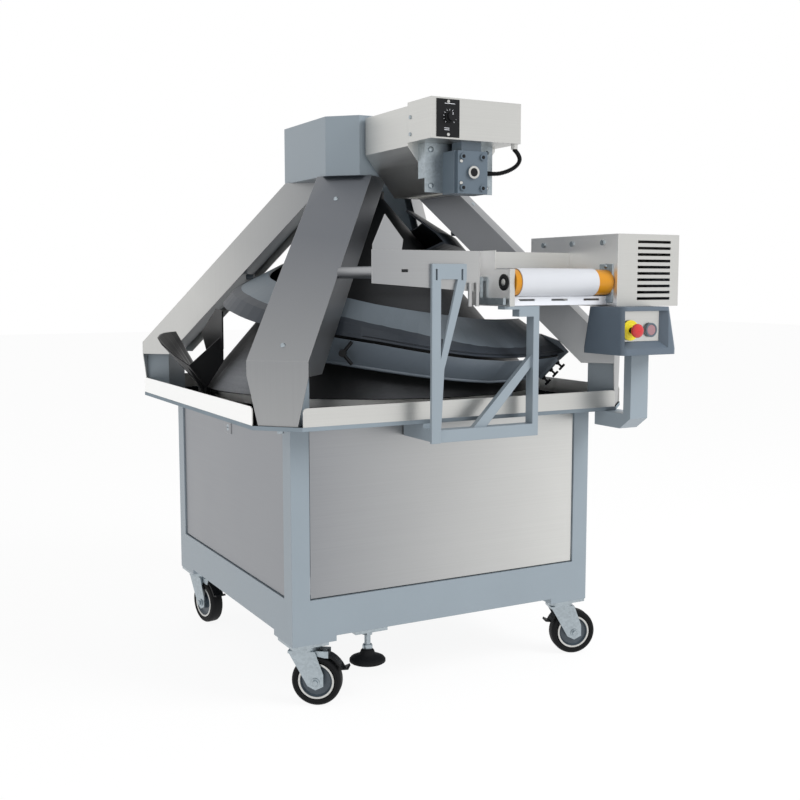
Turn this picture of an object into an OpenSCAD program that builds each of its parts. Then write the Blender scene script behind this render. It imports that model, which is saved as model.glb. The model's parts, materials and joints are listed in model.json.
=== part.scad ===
// Conical dough rounder: a turning cone inside a helical track, on a wheeled cabinet.
// The origin lies on the floor under the cone's axis. X runs along the front, -Y is the front, Z is up.

/* [Cabinet] */
// Width and depth of the square cabinet
cabinet_w = 886; // [820:1:920]
// Side of the corner posts
post_w = 48; // [44:1:60]
// Height of the bottom rails
rail_h = 97; // [80:1:130]
// Underside of the bottom rails above the floor
rail_bottom = 176; // [174:1:196]
// Height of the pads over the casters
corner_pad_h = 14; // [8:1:16]
// Side of those pads
corner_pad_w = 118; // [100:1:130]
// Wall of the square tubes
tube_wall = 4; // [2:0.5:6]
// Height of the rails under the table
top_rail_h = 40; // [30:1:50]
// Depth of the rails under the table
top_rail_d = 30; // [20:1:40]
// Sheet of the cabinet panels
panel_t = 2; // [1:0.5:4]
// Step of the panels behind the post faces
panel_inset = 4; // [2:0.5:8]
// Gap around the panels
panel_gap = 3; // [2:0.5:5]

/* [Table] */
// Width of the table across its flats
table_w = 1084; // [1050:1:1120]
// Leg of the cut corners
table_corner = 88; // [76:1:98]
// Top of the table above the floor
table_top = 712; // [690:1:740]
// Thickness of the table
table_t = 10; // [6:1:16]
// Height of the rims along the table's edges
rim_h = 44; // [30:1:54]
// Thickness of the rims
rim_t = 3; // [2:0.5:5]
// Rounding of the rims' upper ends
rim_round = 10; // [4:1:20]

/* [Cone] */
// From the cone's foot to the table's edge
cone_margin = 62; // [58:1:92]
// Height of the base edge above the table
cone_lift = 43.5; // [36:0.5:60]
// From the cone's peak, if it were sharp, to the hub
tip_gap = 3.5; // [0:0.5:20]
// Wall of the cone
cone_wall = 6; // [4:0.5:10]
// Radius of the collar at the tip
collar_r = 36; // [32:1:44]
// Height of the collar above the cone's side
collar_h = 22; // [12:1:30]
// From the ring's outside to the cone's foot
ring_in = 16; // [12:1:40]
// Radial depth of that ring
ring_d = 30; // [20:1:40]
// Height of that ring
ring_h = 24; // [16:1:30]
// Diameter of the spindle
spindle_d = 40; // [30:1:50]

/* [Legs] */
// Height of the fold above the table
leg_fold_up = 151; // [140:1:170]
// Width of the leg covers
leg_w = 153; // [130:1:160]
// Width of the covers at the table
leg_foot_w = 99; // [84:1:106]
// Depth of the cover's side flanges
leg_flange = 86; // [80:1:100]
// Length of the flanges below the fold
leg_skirt = 35; // [28:1:50]
// Sheet of the leg covers
leg_sheet = 2; // [1:0.5:4]
// Width of the leg tubes
leg_tube_w = 100; // [80:1:110]
// Depth of the leg tubes
leg_tube_d = 70; // [50:1:78]
// Gap between the cover and the tube
leg_tube_gap = 0.3; // [0.2:0.1:2]
// Setback of the covers from the table's cut corners
leg_edge_gap = 4; // [1:0.5:10]

/* [Hub] */
// Half width of the hub housing
hub_half = 207; // [195:1:215]
// Leg of the housing's cut corners
hub_corner = 67; // [56:1:76]
// Height of the housing's underside above the table
hub_up = 610; // [600:1:625]
// Height of the housing
hub_h = 154; // [130:1:180]
// Sheet of the housing
hub_wall = 3; // [2:0.5:5]
// Thickness of the plate that joins the legs
spider_t = 14; // [8:1:20]

/* [Track] */
// Radial width of the dough channel at the fold
channel_w = 152; // [142:1:155]
// Loss of that width for each degree of turn
channel_fade = 0.14; // [0.13:0.01:0.16]
// Horizontal run of the track's roof
roof_run = 101; // [80:1:110]
// Rise of the track's roof
roof_rise = 63; // [50:1:70]
// Horizontal run of the track's outer wall
wall_run = 28; // [20:1:34]
// Drop of the track's outer wall
wall_drop = 33; // [26:1:40]
// Thickness of the track
track_t = 6; // [4:0.5:8]
// Running gap between the track and the cone
cone_gap = 8; // [6:0.5:12]
// Depth of the lower track below the fold
apron_drop = 96; // [86:1:101]
// Width of the lower track's lip beyond the cone
apron_lip = 45; // [35:1:55]
// Thickness of the plate at the track's lower end
end_plate_t = 14; // [8:1:20]

/* [Infeed chute] */
// Radius of the chute's upper edge
chute_top_r = 602; // [570:1:610]
// Height of the chute's upper edge above the table
chute_top_up = 188; // [160:1:196]
// Height of the chute's straight foot
chute_foot_h = 46; // [30:1:60]
// Sheet of the chute
chute_t = 4; // [2:0.5:6]

/* [Flour duster] */
// Width of the hopper
hopper_w = 254; // [230:1:280]
// Length of the hopper
hopper_l = 228; // [190:1:240]
// Height of the hopper's straight sides
hopper_side_h = 95; // [70:1:120]
// Height of the hopper's tapered trough
trough_h = 108; // [90:1:118]
// Width of the trough's floor
trough_floor_w = 80; // [60:1:100]
// Sheet of the hopper
hopper_t = 2; // [1:0.5:4]
// Gap between the hub and the hopper
hopper_gap = 9; // [6:1:14]
// Hopper's top above the hub's underside
hopper_top_up = 145; // [130:1:152]
// Radius of the agitator's blades
agitator_r = 26; // [20:1:30]
// Radius of the agitator's shaft
agitator_shaft_r = 8; // [6:0.5:10]
// Depth of the duster's control box
duster_box_d = 114; // [100:1:130]
// Height of the duster's control box
duster_box_h = 96; // [86:1:110]
// Step of that box above the hopper's top
duster_box_step = 8; // [4:1:16]
// Width of the duster's gearbox
gear_w = 84; // [76:1:96]
// Width of the cover at the gearbox's side
gear_side_w = 6; // [4:1:12]
// Height of the duster's gearbox
gear_h = 102; // [88:1:108]
// Depth of the duster's gearbox
gear_d = 67; // [50:1:76]
// Depth of the folded bracket behind the gearbox
gear_bracket_d = 34; // [26:1:40]
// Outer radius of the ribbed conduit
conduit_r = 5.5; // [4:0.1:6.5]
// Radius of the conduit between its ribs
conduit_root_r = 4.6; // [3.6:0.1:5]
// Bore radius of the conduit
conduit_bore_r = 3.6; // [2.5:0.1:4]
// Count of the conduit's ribs
conduit_ribs = 42; // [20:1:60]

/* [Conveyor] */
// Front roller's axis from the table's front edge
roller_out = 57; // [45:1:70]
// Height of the rollers' axes above the table
roller_up = 330; // [323:1:348]
// Distance between the rollers' axes
roller_pitch = 132; // [120:1:136]
// Radius of the rollers
roller_r = 32; // [28:1:34]
// Radius of the rollers' journals
journal_r = 8; // [6:0.5:12]
// Thickness of the belt
belt_t = 2; // [1:0.5:3]
// Width of the belt
belt_w = 233; // [210:1:246]
// Inner face of the side plate from the middle
side_plate_x = 69; // [60:1:76]
// Thickness of the side plate
side_plate_t = 14; // [10:1:20]
// Length of the rollers
roller_l = 300; // [284:1:310]
// Width of the drive housing
housing_w = 202; // [180:1:220]
// Depth of the drive housing
housing_d = 376; // [356:1:386]
// Height of the drive housing
housing_h = 183; // [170:1:200]
// Depth of the housing below the rollers' axes
housing_below = 61; // [54:1:70]
// Overhang of the housing before the front roller
housing_front = 43; // [36:1:50]
// Sheet of the housing
housing_t = 2; // [1:0.5:4]
// Count of the housing's vent slots
vent_count = 10; // [4:1:12]
// Pitch of the vent slots
vent_pitch = 16; // [12:0.5:17]

/* [Guides] */
// Length of the guide plate
guide_l = 289; // [260:1:310]
// Left end of the guide plate
guide_left = 306; // [296:1:316]
// Guide plate's upper edge above the table
guide_top_up = 404; // [394:1:414]
// Height of the guide plate at its left end
guide_h_left = 76; // [66:1:86]
// Height of the guide plate at its right end
guide_h_right = 97; // [88:1:106]
// Thickness of the guide plate
guide_t = 3; // [2:0.5:5]
// Side of the square bracket tube
bar_w = 30; // [22:1:34]
// Bracket's front bar from the table's front edge
bar_out = 46; // [42:1:56]
// Left end of the bracket's front bar
bar_left = 137; // [125:1:145]
// Right end of that bar from the machine's middle
bar_right = 158; // [150:1:166]
// Thickness of the forked strut
strut_t = 8; // [6:0.5:12]

/* [Controls] */
// Width of the control box
pendant_w = 174; // [168:1:180]
// Depth of the control box
pendant_d = 164; // [150:1:174]
// Height of the control box
pendant_h = 120; // [100:1:130]
// Middle of the control box
pendant_x = 418; // [412:1:424]
// Radius of the stop button's head
stop_r = 17; // [14:0.5:20]
// Travel of the stop button
stop_travel = 5; // [3:0.5:7]
// Radius of the start button
start_r = 13; // [10:0.5:15]
// Travel of the start button
start_travel = 3; // [2:0.5:5]
// Width of the arm's tube
arm_w = 57; // [46:1:62]
// Depth of the arm's tube
arm_d = 40; // [34:1:46]
// Radius of the duster's speed knob
knob_r = 11; // [8:0.5:13]

/* [Casters and feet] */
// Diameter of the caster wheels
wheel_d = 125; // [100:1:128]
// Width of the caster wheels
wheel_w = 38; // [30:1:44]
// Trail of the wheel behind the swivel axis
caster_trail = 35; // [30:1:42]
// Swivel axes from the middle
caster_at = 393; // [380:1:400]
// Radius of the swivel pin
pin_r = 8; // [6:0.5:10]
// Radius of the wheel's axle
axle_r = 6; // [5:0.5:8]
// Radius of the levelling feet's pads
foot_r = 46; // [36:1:52]
// Radius of the feet's stems
stem_r = 8; // [6:0.5:10]
// Height of the raised pads above the floor
foot_clear = 86; // [60:1:90]
// Distance of the feet along the rails
foot_along = 228; // [180:1:260]

/* [Drive] */
// Side of the main gearbox
drive_w = 220; // [180:1:240]
// Height of the main gearbox
drive_h = 190; // [160:1:210]
// Radius of the main motor
motor_r = 78; // [60:1:84]
// Length of the main motor
motor_l = 240; // [200:1:270]
// Beams under the gearbox from the middle
beam_at = 85; // [70:1:90]

/* [Hidden] */

// Rounds, fits and cuts
$fn = 64;
hull_fn = 32;
fit = 0.05;
run_gap = 0.4;
overrun = 5;

// Colours
paint = [0.60, 0.66, 0.69];
steel = [0.72, 0.72, 0.71];
bright = [0.82, 0.82, 0.80];
charcoal = [0.30, 0.31, 0.32];
slate = [0.33, 0.37, 0.42];
black = [0.09, 0.09, 0.10];
gear_blue = [0.40, 0.47, 0.53];
white = [0.90, 0.91, 0.92];
amber = [0.80, 0.52, 0.06];
red = [0.78, 0.14, 0.14];
zinc = [0.66, 0.70, 0.72];

// Places that several pieces share
cabinet_half = cabinet_w / 2;
rail_top = rail_bottom + rail_h;
frame_top = table_top - table_t;
table_half = table_w / 2;
corner_r = (table_half - table_corner / 2) * sqrt(2);
hub_bottom = table_top + hub_up;
cone_base_r = table_half - cone_margin;
ring_r = cone_base_r - ring_in;
cone_base_z = table_top + cone_lift;
cone_tip_z = hub_bottom - tip_gap;
cone_slope = atan2(cone_tip_z - cone_base_z, cone_base_r);
cone_lip = 2;
spindle_r = spindle_d / 2;

function cone_r(z) = (cone_tip_z - z) / tan(cone_slope);

// Plain shapes

module block(w, d, h) {
    translate([-w / 2, -d / 2, 0]) cube([w, d, h]);
}

module span(low, high) {
    translate(low) cube(high - low);
}

module tube_span(low, high, wall, way) {
    cut = [for (i = [0:2]) i == way ? -overrun : wall];
    difference() {
        span(low, high);
        span(low + cut, high - cut);
    }
}

module ring(outer, inner, h) {
    difference() {
        cylinder(r = outer, h = h);
        translate([0, 0, -overrun]) cylinder(r = inner, h = h + 2 * overrun);
    }
}

module octagon(half, corner) {
    flat = half - corner;
    polygon([[half, flat], [flat, half], [-flat, half], [-half, flat],
        [-half, -flat], [-flat, -half], [flat, -half], [half, -flat]]);
}

module four_sides() {
    for (turn = [0:90:270]) rotate([0, 0, turn]) children();
}

// A cylinder along +X, or along +Y
module rod_x(r, l) {
    rotate([0, 90, 0]) cylinder(r = r, h = l);
}

module rod_y(r, l) {
    rotate([-90, 0, 0]) cylinder(r = r, h = l);
}

// An outline in X and Z, given a thickness along Y about its middle
module upright(points, t) {
    rotate([90, 0, 0]) linear_extrude(t, center = true) polygon(points);
}

// An outline in Y and Z, given a thickness towards +X
module crosswise(points, t) {
    rotate([90, 0, 90]) linear_extrude(t) polygon(points);
}

// A strip of sheet swept through rings of points, each along its outer face and back inside
module swept_strip(rings) {
    n = len(rings[0]);
    half = n / 2;
    last = len(rings) - 1;
    sides = [for (i = [0:last - 1]) for (j = [0:n - 1])
        let (a = i * n + j, b = i * n + (j + 1) % n)
        each [[a, b, b + n], [a, b + n, a + n]]];
    start = [for (j = [0:half - 2]) each [[j, n - 1 - j, n - 2 - j], [j, n - 2 - j, j + 1]]];
    end = [for (j = [0:half - 2]) let (k = last * n)
        each [[k + j, k + n - 2 - j, k + n - 1 - j], [k + j, k + j + 1, k + n - 2 - j]]];
    polyhedron([for (r = rings) each r], concat(sides, start, end), 10);
}

// Cabinet

beam_w = 50;
beam_h = 40;
foot_hole_gap = 4;
foot_hole_r = stem_r + foot_hole_gap;
foot_y = cabinet_half - post_w / 2;
panel_face = cabinet_half - panel_inset;
panel_back_gap = 0.3;
top_rail_face = panel_face - panel_t - panel_back_gap;
drive_z = rail_top;

module base_frame() {
    color(paint) difference() {
        union() {
            four_sides() {
                inner = cabinet_half - post_w;
                tube_span([inner, inner, rail_bottom], [cabinet_half, cabinet_half, frame_top], tube_wall, 2);
                tube_span([-inner, inner, rail_bottom], [inner, cabinet_half, rail_top], tube_wall, 0);
                span([cabinet_half - corner_pad_w, cabinet_half - corner_pad_w, rail_bottom - corner_pad_h],
                    [cabinet_half, cabinet_half, rail_bottom]);
                tube_span([-inner, top_rail_face - top_rail_d, frame_top - top_rail_h],
                    [inner, top_rail_face, frame_top], tube_wall, 0);
            }
            for (side = [-1, 1]) {
                reach = cabinet_half - post_w;
                tube_span([-reach, side * beam_at - beam_w / 2, rail_top - beam_h],
                    [reach, side * beam_at + beam_w / 2, rail_top], tube_wall, 0);
            }
        }
        for (side = [-1, 1])
            translate([side * foot_along, side * foot_y, rail_bottom - overrun])
                cylinder(r = foot_hole_r, h = tube_wall + 2 * overrun);
    }
}

panel_half = cabinet_half - post_w - panel_gap;
panel_low = rail_top + panel_gap;
panel_high = frame_top - panel_gap;
lock_plate_w = 46;
lock_plate_h = 32;
lock_plate_t = 2;
lock_below = 50;
lock_r = 9;
lock_cam_lap = 10;
lock_cam_t = 4;
lock_z = panel_high - lock_below;
lock_cam_l = frame_top - top_rail_h - lock_z + lock_cam_lap;
lock_barrel_l = lock_plate_t + panel_t + panel_back_gap + top_rail_d + run_gap;

module fixed_panels() {
    color(steel) for (turn = [90, 180, 270])
        rotate([0, 0, turn]) translate([-panel_face, 0, 0])
            crosswise([[-panel_half, panel_low], [panel_half, panel_low],
                [panel_half, panel_high], [-panel_half, panel_high]], panel_t);
}

module left_panel() {
    color(steel) difference() {
        union() {
            translate([-panel_face, 0, 0])
                crosswise([[-panel_half, panel_low], [panel_half, panel_low],
                    [panel_half, panel_high], [-panel_half, panel_high]], panel_t);
            span([-panel_face - lock_plate_t, -lock_plate_w / 2, lock_z - lock_plate_h / 2],
                [-panel_face, lock_plate_w / 2, lock_z + lock_plate_h / 2]);
        }
        translate([-panel_face - overrun, 0, lock_z]) rod_x(lock_r, 3 * overrun);
    }
}

// A slotted barrel with a cam behind the sheet
module panel_lock() {
    slot_w = lock_r / 4;
    color(zinc) difference() {
        translate([-panel_face - lock_plate_t, 0, lock_z]) {
            rod_x(lock_r - fit, lock_barrel_l);
            translate([lock_barrel_l, -lock_r, -lock_r / 2]) cube([lock_cam_t, lock_r + lock_cam_l, lock_r]);
        }
        translate([-panel_face - lock_plate_t - overrun, -lock_r, lock_z - slot_w / 2])
            cube([overrun + slot_w, 2 * lock_r, slot_w]);
    }
}

// Table

bearing_r = 55;
bearing_h = 30;

module table_plate() {
    color(paint) translate([0, 0, frame_top]) difference() {
        linear_extrude(table_t) octagon(table_half, table_corner);
        translate([0, 0, -overrun]) cylinder(r = spindle_r + overrun, h = table_t + 2 * overrun);
    }
}

rim_end_gap = 2;
rim_half = table_half - table_corner - rim_end_gap;

module tray_rims() {
    straight = rim_half - rim_round;
    color(bright) four_sides() translate([table_half - rim_t, 0, table_top]) {
        crosswise([[-rim_half, 0], [rim_half, 0], [rim_half, rim_h - rim_round], [straight, rim_h - rim_round],
            [straight, rim_h], [-straight, rim_h], [-straight, rim_h - rim_round],
            [-rim_half, rim_h - rim_round]], rim_t);
        for (side = [-1, 1]) intersection() {
            translate([0, side * straight, rim_h - rim_round]) rod_x(rim_round, rim_t);
            span([0, side > 0 ? straight : -rim_half, rim_h - rim_round],
                [rim_t, side > 0 ? rim_half : -straight, rim_h]);
        }
    }
}

// Cone, spindle and main drive

cone_wall_h = cone_wall / sin(cone_slope);
collar_z = cone_tip_z - collar_r * tan(cone_slope);
collar_depth = 60;
cone_low_z = cone_base_z - cone_lip;
drive_top = drive_z + drive_h;
spindle_in = 60;
spindle_low = drive_top - spindle_in;
spindle_high = hub_bottom + spider_t + bearing_h;

module cone() {
    web_z = collar_z - collar_depth;
    seat_z = cone_low_z + cone_wall;
    bore = spindle_r + fit;
    color(charcoal) rotate_extrude($fn = 180) polygon([
        [ring_r - ring_d, cone_low_z], [cone_base_r - cone_lip, cone_low_z],
        [cone_base_r, cone_base_z], [collar_r, collar_z], [collar_r, collar_z + collar_h],
        [bore, collar_z + collar_h], [bore, web_z], [cone_r(web_z) - cone_wall_h, web_z],
        [cone_r(seat_z) - cone_wall_h, seat_z], [ring_r - ring_d, seat_z]]);
}

module cone_ring() {
    color(bright) translate([0, 0, cone_low_z - ring_h]) ring(ring_r, ring_r - ring_d, ring_h, $fn = 180);
}

module spindle() {
    color(zinc) translate([0, 0, spindle_low]) cylinder(r = spindle_r, h = spindle_high - spindle_low);
}

module spindle_bearings() {
    color(slate) for (z = [table_top, hub_bottom + spider_t])
        translate([0, 0, z]) ring(bearing_r, spindle_r + fit, bearing_h - fit);
}

drive_boss_r = 70;
drive_boss_h = 20;
drive_foot_t = 16;
drive_foot_out = 20;
drive_body_w = drive_w - 2 * drive_foot_out;

module drive_gearbox() {
    color(gear_blue) difference() {
        translate([0, 0, drive_z]) union() {
            block(drive_body_w, drive_w, drive_foot_t);
            block(drive_body_w, drive_body_w, drive_h - drive_boss_h);
            cylinder(r = drive_boss_r, h = drive_h);
        }
        translate([0, 0, spindle_low - overrun]) cylinder(r = spindle_r + fit, h = drive_h);
    }
}

motor_flange_out = 12;
motor_flange_r = motor_r + motor_flange_out;
motor_flange_t = 14;
motor_cap_l = 40;
motor_z = drive_z + drive_h / 2;

module drive_motor() {
    color(gear_blue) translate([drive_body_w / 2, 0, motor_z]) {
        rod_x(motor_flange_r, motor_flange_t);
        translate([motor_flange_t, 0, 0]) rod_x(motor_r, motor_l - motor_flange_t - motor_cap_l);
        translate([motor_l - motor_cap_l, 0, 0]) rod_x(motor_r + tube_wall, motor_cap_l);
        translate([motor_l / 2, 0, 0]) block(motor_r, motor_r, motor_flange_r);
    }
}

// Legs and hub

leg_r = corner_r - leg_edge_gap;
leg_fold_z = table_top + leg_fold_up;
leg_low_z = leg_fold_z - leg_skirt;
leg_top_in = 14;
hub_corner_r = (hub_half - hub_corner / 2) * sqrt(2) - leg_top_in;
leg_slope = atan2(hub_bottom - leg_fold_z, leg_r - hub_corner_r);
leg_inside = leg_sheet + leg_tube_gap;
leg_angles = [45, 135, 225, 315];
leg_screw_shares = [0.075, 0.86];
leg_run = norm([leg_r - hub_corner_r, hub_bottom - leg_fold_z]);

// Fold and top of a line that runs inside the leg's outer face by d
function leg_knee(d) = [leg_r - d, leg_fold_z - d * (1 - sin(leg_slope)) / cos(leg_slope)];
function leg_face_r(z, d) = leg_r - (z - leg_fold_z) / tan(leg_slope) - d / sin(leg_slope);
function leg_band(d1, d2, low, high) = [[leg_r - d1, low], leg_knee(d1), [leg_face_r(high, d1), high],
    [leg_face_r(high, d2), high], leg_knee(d2), [leg_r - d2, low]];

module leg_tube() {
    deep = leg_inside + leg_tube_d;
    difference() {
        upright(leg_band(leg_inside, deep, table_top, hub_bottom), leg_tube_w);
        upright(leg_band(leg_inside + tube_wall, deep - tube_wall, table_top - overrun, hub_bottom + overrun),
            leg_tube_w - 2 * tube_wall);
    }
}

module leg_frame() {
    color(paint) {
        for (turn = leg_angles) rotate([0, 0, turn]) leg_tube();
        translate([0, 0, hub_bottom]) difference() {
            linear_extrude(spider_t) octagon(hub_half - hub_wall - fit, hub_corner - hub_wall / 2);
            translate([0, 0, -overrun]) cylinder(r = spindle_r + overrun, h = spider_t + 2 * overrun);
        }
    }
}

module leg_cover() {
    side = (leg_w - leg_sheet) / 2;
    upright(leg_band(0, leg_sheet, leg_low_z, hub_bottom), leg_w);
    for (y = [-side, side]) difference() {
        translate([0, y, 0]) upright(leg_band(leg_sheet, leg_flange, table_top, hub_bottom), leg_sheet);
        span([0, -leg_w, table_top - overrun], [table_w, leg_w, leg_low_z]);
    }
    translate([leg_r - leg_sheet, 0, 0]) crosswise([[-leg_w / 2, leg_low_z], [-leg_foot_w / 2, table_top],
        [leg_foot_w / 2, table_top], [leg_w / 2, leg_low_z]], leg_sheet);
}

module leg_covers() {
    color(bright) for (turn = leg_angles) rotate([0, 0, turn]) leg_cover();
}

module hub_housing() {
    color(paint) translate([0, 0, hub_bottom]) difference() {
        linear_extrude(hub_h) octagon(hub_half, hub_corner);
        translate([0, 0, -overrun]) linear_extrude(hub_h - hub_wall + overrun)
            octagon(hub_half - hub_wall, hub_corner - hub_wall / 2);
    }
}

// Helical track round the cone. Angles fall along the way that the dough climbs.

track_start = -46.6;
track_end = -424.6;
track_steps = 72;
fade_from = -103.6;
floor_from = -150.6;
floor_full = -166.6;
floor_lip = 14;
floor_drop = 24;
apron_start = -52.6;
apron_end = -146.6;
apron_steps = 24;
apron_top_gap = 6;
apron_lip_up = 4;
apron_inset = 2;

// Turns along the track's way, and there the shares of the cone's height that the fold has climbed,
// of the roof's rise, of the wall's drop and of the lower track's depth
track_turns = [46, 70, 80, 90, 101, 115, 128, 141, 154, 172, 197, 240, 300, 360, 426];
fold_shares = [0.209, 0.21, 0.213, 0.227, 0.255, 0.302, 0.341, 0.36, 0.381, 0.425, 0.47, 0.546,
    0.63, 0.697, 0.756];
roof_shares = [1.1, 1.13, 1.17, 1.2, 1.12, 0.96, 0.91, 0.9, 0.87, 0.8, 0.75, 0.85, 0.95, 1, 1];
wall_shares = [0.65, 0.65, 0.65, 0.65, 0.68, 0.8, 0.95, 1, 1, 1, 1, 1, 1, 1, 1];
apron_shares = [0.91, 0.91, 0.91, 0.91, 0.95, 1.05, 1.12, 1.13, 1.13, 1.13, 1.13, 1.13, 1.13, 1.13, 1.13];

function along(a, shares) = lookup(-a, [for (i = [0:len(track_turns) - 1]) [track_turns[i], shares[i]]]);
function fold_z(a) = cone_base_z + (cone_tip_z - cone_base_z) * along(a, fold_shares);
function fold_r(a) = cone_r(fold_z(a)) + channel_w - channel_fade * max(0, fade_from - a);
function wall_end(a) = [fold_r(a) + wall_run, fold_z(a) - wall_drop * along(a, wall_shares)];
function roof_top(a) = [fold_r(a) - roof_run, fold_z(a) + roof_rise * along(a, roof_shares)];
function floor_share(a) = min(1, max(0, (floor_from - a) / (floor_from - floor_full)));
function floor_end(a) = let (w = wall_end(a), s = floor_share(a), z = w[1] - floor_drop * s - apron_inset,
    near = cone_r(z) + cone_gap) [(w[0] - floor_lip) * (1 - s) + near * s, z];
function at_angle(a, p) = [p[0] * cos(a), p[0] * sin(a), p[1]];

roof_in = [-roof_rise, -roof_run] / norm([roof_run, roof_rise]);
wall_in = [-wall_drop, -wall_run] / norm([wall_run, wall_drop]);
fold_in = (roof_in + wall_in) / (1 + roof_in * wall_in);

function track_ring(a) = let (f = [fold_r(a), fold_z(a)], top = roof_top(a), w = wall_end(a),
    e = floor_end(a), up = [0, track_t]) [for (p = [top, f, w, e, e + up, w + up - [track_t, 0],
        f + fold_in * track_t, top + roof_in * track_t]) at_angle(a, p)];

function apron_top(a) = wall_end(a) - [apron_inset, apron_inset + apron_top_gap];
function apron_z(a) = fold_z(a) - apron_drop * along(a, apron_shares);
function apron_rim(a) = let (z = apron_z(a)) [cone_r(z) + apron_lip, z];
function apron_edge(a) = let (z = apron_z(a) + apron_lip_up) [cone_r(z) + cone_gap, z];
function apron_ring(a) = let (top = apron_top(a), rim = apron_rim(a), edge = apron_edge(a), up = [0, track_t])
    [for (p = [top, rim, edge, edge + up, rim + up + [-track_t / 2, 0], top - [track_t, 0]]) at_angle(a, p)];

module upper_track() {
    step = (track_end - track_start) / track_steps;
    color(paint) swept_strip([for (i = [0:track_steps]) track_ring(track_start + step * i)]);
}

module lower_track() {
    step = (apron_end - apron_start) / apron_steps;
    color(slate) swept_strip([for (i = [0:apron_steps]) apron_ring(apron_start + step * i)]);
}

// Plate across the lower end of the track, with the shares of its clamp screws
end_knob_shares = [0.2, 0.5, 0.8];
end_knob_r = 9;
end_knob_l = 12;
end_stem_r = 4;
end_stem_l = 14;
end_gap = 0.5;
end_over = 10;
end_roof_share = 0.4;

function end_outline() = let (a = track_start, f = [fold_r(a), fold_z(a)], w = wall_end(a), r = apron_rim(a))
    [f + (roof_top(a) - f) * end_roof_share, f + [end_over, end_over], w + [end_over, 0], r,
    [cone_r(r[1]) + 2 * cone_gap, r[1] + 2 * end_over]];

// Stays from the legs to the track's fold, and rests under the lower track's rim
stay_r = 9;
stay_gap = 0.3;
rest_r = 8;
rest_gap = 0.3;
rest_angle = -70;
arm_rest_angle = -135;
arm_rest_lap = 14;
stay_angles = [-135, -225, -315, -405];

// Height of a rest under the climbing rim
function rest_z(a) = let (turn = rest_r / apron_rim(a)[0] * 180 / PI) apron_rim(a + turn)[1] - rest_gap;

module track_supports() {
    color(paint) {
        for (a = stay_angles) {
            near = fold_r(a) + stay_gap;
            z = fold_z(a) + stay_r;
            far = leg_face_r(z + stay_r, leg_inside + leg_tube_d) - stay_gap;
            rotate([0, 0, a]) translate([near, 0, z]) rod_x(stay_r, far - near);
        }
        post = apron_rim(rest_angle);
        rotate([0, 0, rest_angle]) translate([post[0] - rest_r, 0, table_top])
            cylinder(r = rest_r, h = rest_z(rest_angle) - table_top);
        arm = apron_rim(arm_rest_angle);
        arm_z = rest_z(arm_rest_angle) - rest_r;
        arm_far = leg_face_r(arm_z + rest_r, leg_inside + leg_tube_d) - stay_gap;
        rotate([0, 0, arm_rest_angle]) translate([arm[0] - arm_rest_lap, 0, arm_z])
            rod_x(rest_r, arm_far - arm[0] + arm_rest_lap);
        rotate([0, 0, track_start]) translate([0, end_gap + end_plate_t / 2, 0])
            upright(end_outline(), end_plate_t);
    }
}

module star_knobs() {
    low = wall_end(track_start) - [end_over, 0];
    high = apron_rim(track_start);
    color(black) rotate([0, 0, track_start]) for (s = end_knob_shares) {
        p = low * (1 - s) + (high + [0, 2 * end_over]) * s;
        translate([p[0], end_gap + end_plate_t, p[1]]) {
            rod_y(end_stem_r, end_stem_l);
            translate([0, end_stem_l, 0]) rod_y(end_knob_r, end_knob_l);
        }
    }
}

// Clamp lever on a pin that stands out from the lower track
lever_angle = -125;
lever_pin_r = 5;
lever_pin_l = 36;
lever_arm_l = 36;
lever_arm_r = 4.5;
lever_boss_r = 9;
lever_boss_l = 12;
lever_spread = 50;
lever_share = 0.5;
lever_gap = 1;
lever_at = apron_top(lever_angle) * (1 - lever_share) + apron_rim(lever_angle) * lever_share;
lever_seat = (apron_top(lever_angle)[0] - apron_rim(lever_angle)[0])
    / (apron_top(lever_angle)[1] - apron_rim(lever_angle)[1]) * lever_pin_r + lever_gap;

module clamp_lever() {
    color(black) rotate([0, 0, lever_angle]) translate([lever_at[0] + lever_seat, 0, lever_at[1]]) {
        rod_x(lever_pin_r, lever_pin_l);
        translate([lever_pin_l - lever_boss_l, 0, 0]) rod_x(lever_boss_r, lever_boss_l);
        for (tilt = [-lever_spread, lever_spread]) translate([lever_pin_l - lever_boss_l / 2, 0, 0])
            rotate([-90 + tilt, 0, 0]) cylinder(r = lever_arm_r, h = lever_arm_l);
    }
}

// Flared chute at the cone's foot, with its guide fin
chute_gap = 12;
chute_foot_r = cone_base_r + chute_gap;
fin_in = 36;
fin_x = cone_base_r - fin_in;
fin_t = 4;
fin_l = 188;
fin_up = 258;
fin_back_shares = [1, 0.319, 0.064, 0.064, 0.702];
fin_up_shares = [0.736, 1, 0.977, 0.581, 0.45];
fin_foot_share = 0.45;

// Turns along the chute, and the shares of its flare and rise there
chute_turns = [150, 154, 158, 162, 166, 170, 174, 178];
chute_reach_shares = [0.7, 0.78, 0.86, 0.94, 1, 0.94, 0.7, 0.4];
chute_rise_shares = [1, 1, 1, 0.98, 0.93, 0.82, 0.62, 0.43];
web_turn = 176;
web_share = 0.4;

function chute_top(reach, rise) = [chute_foot_r + (chute_top_r - chute_foot_r) * reach,
    table_top + chute_foot_h + (chute_top_up - chute_foot_h) * rise];
function chute_ring(a, reach, rise) = let (top = chute_top(reach, rise), r = chute_foot_r, t = chute_t,
    z = table_top + chute_foot_h) [for (p = [[r + t, table_top], [r + t, z], top + [t, 0], top, [r, z + t],
        [r, table_top]]) at_angle(a, p)];

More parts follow.
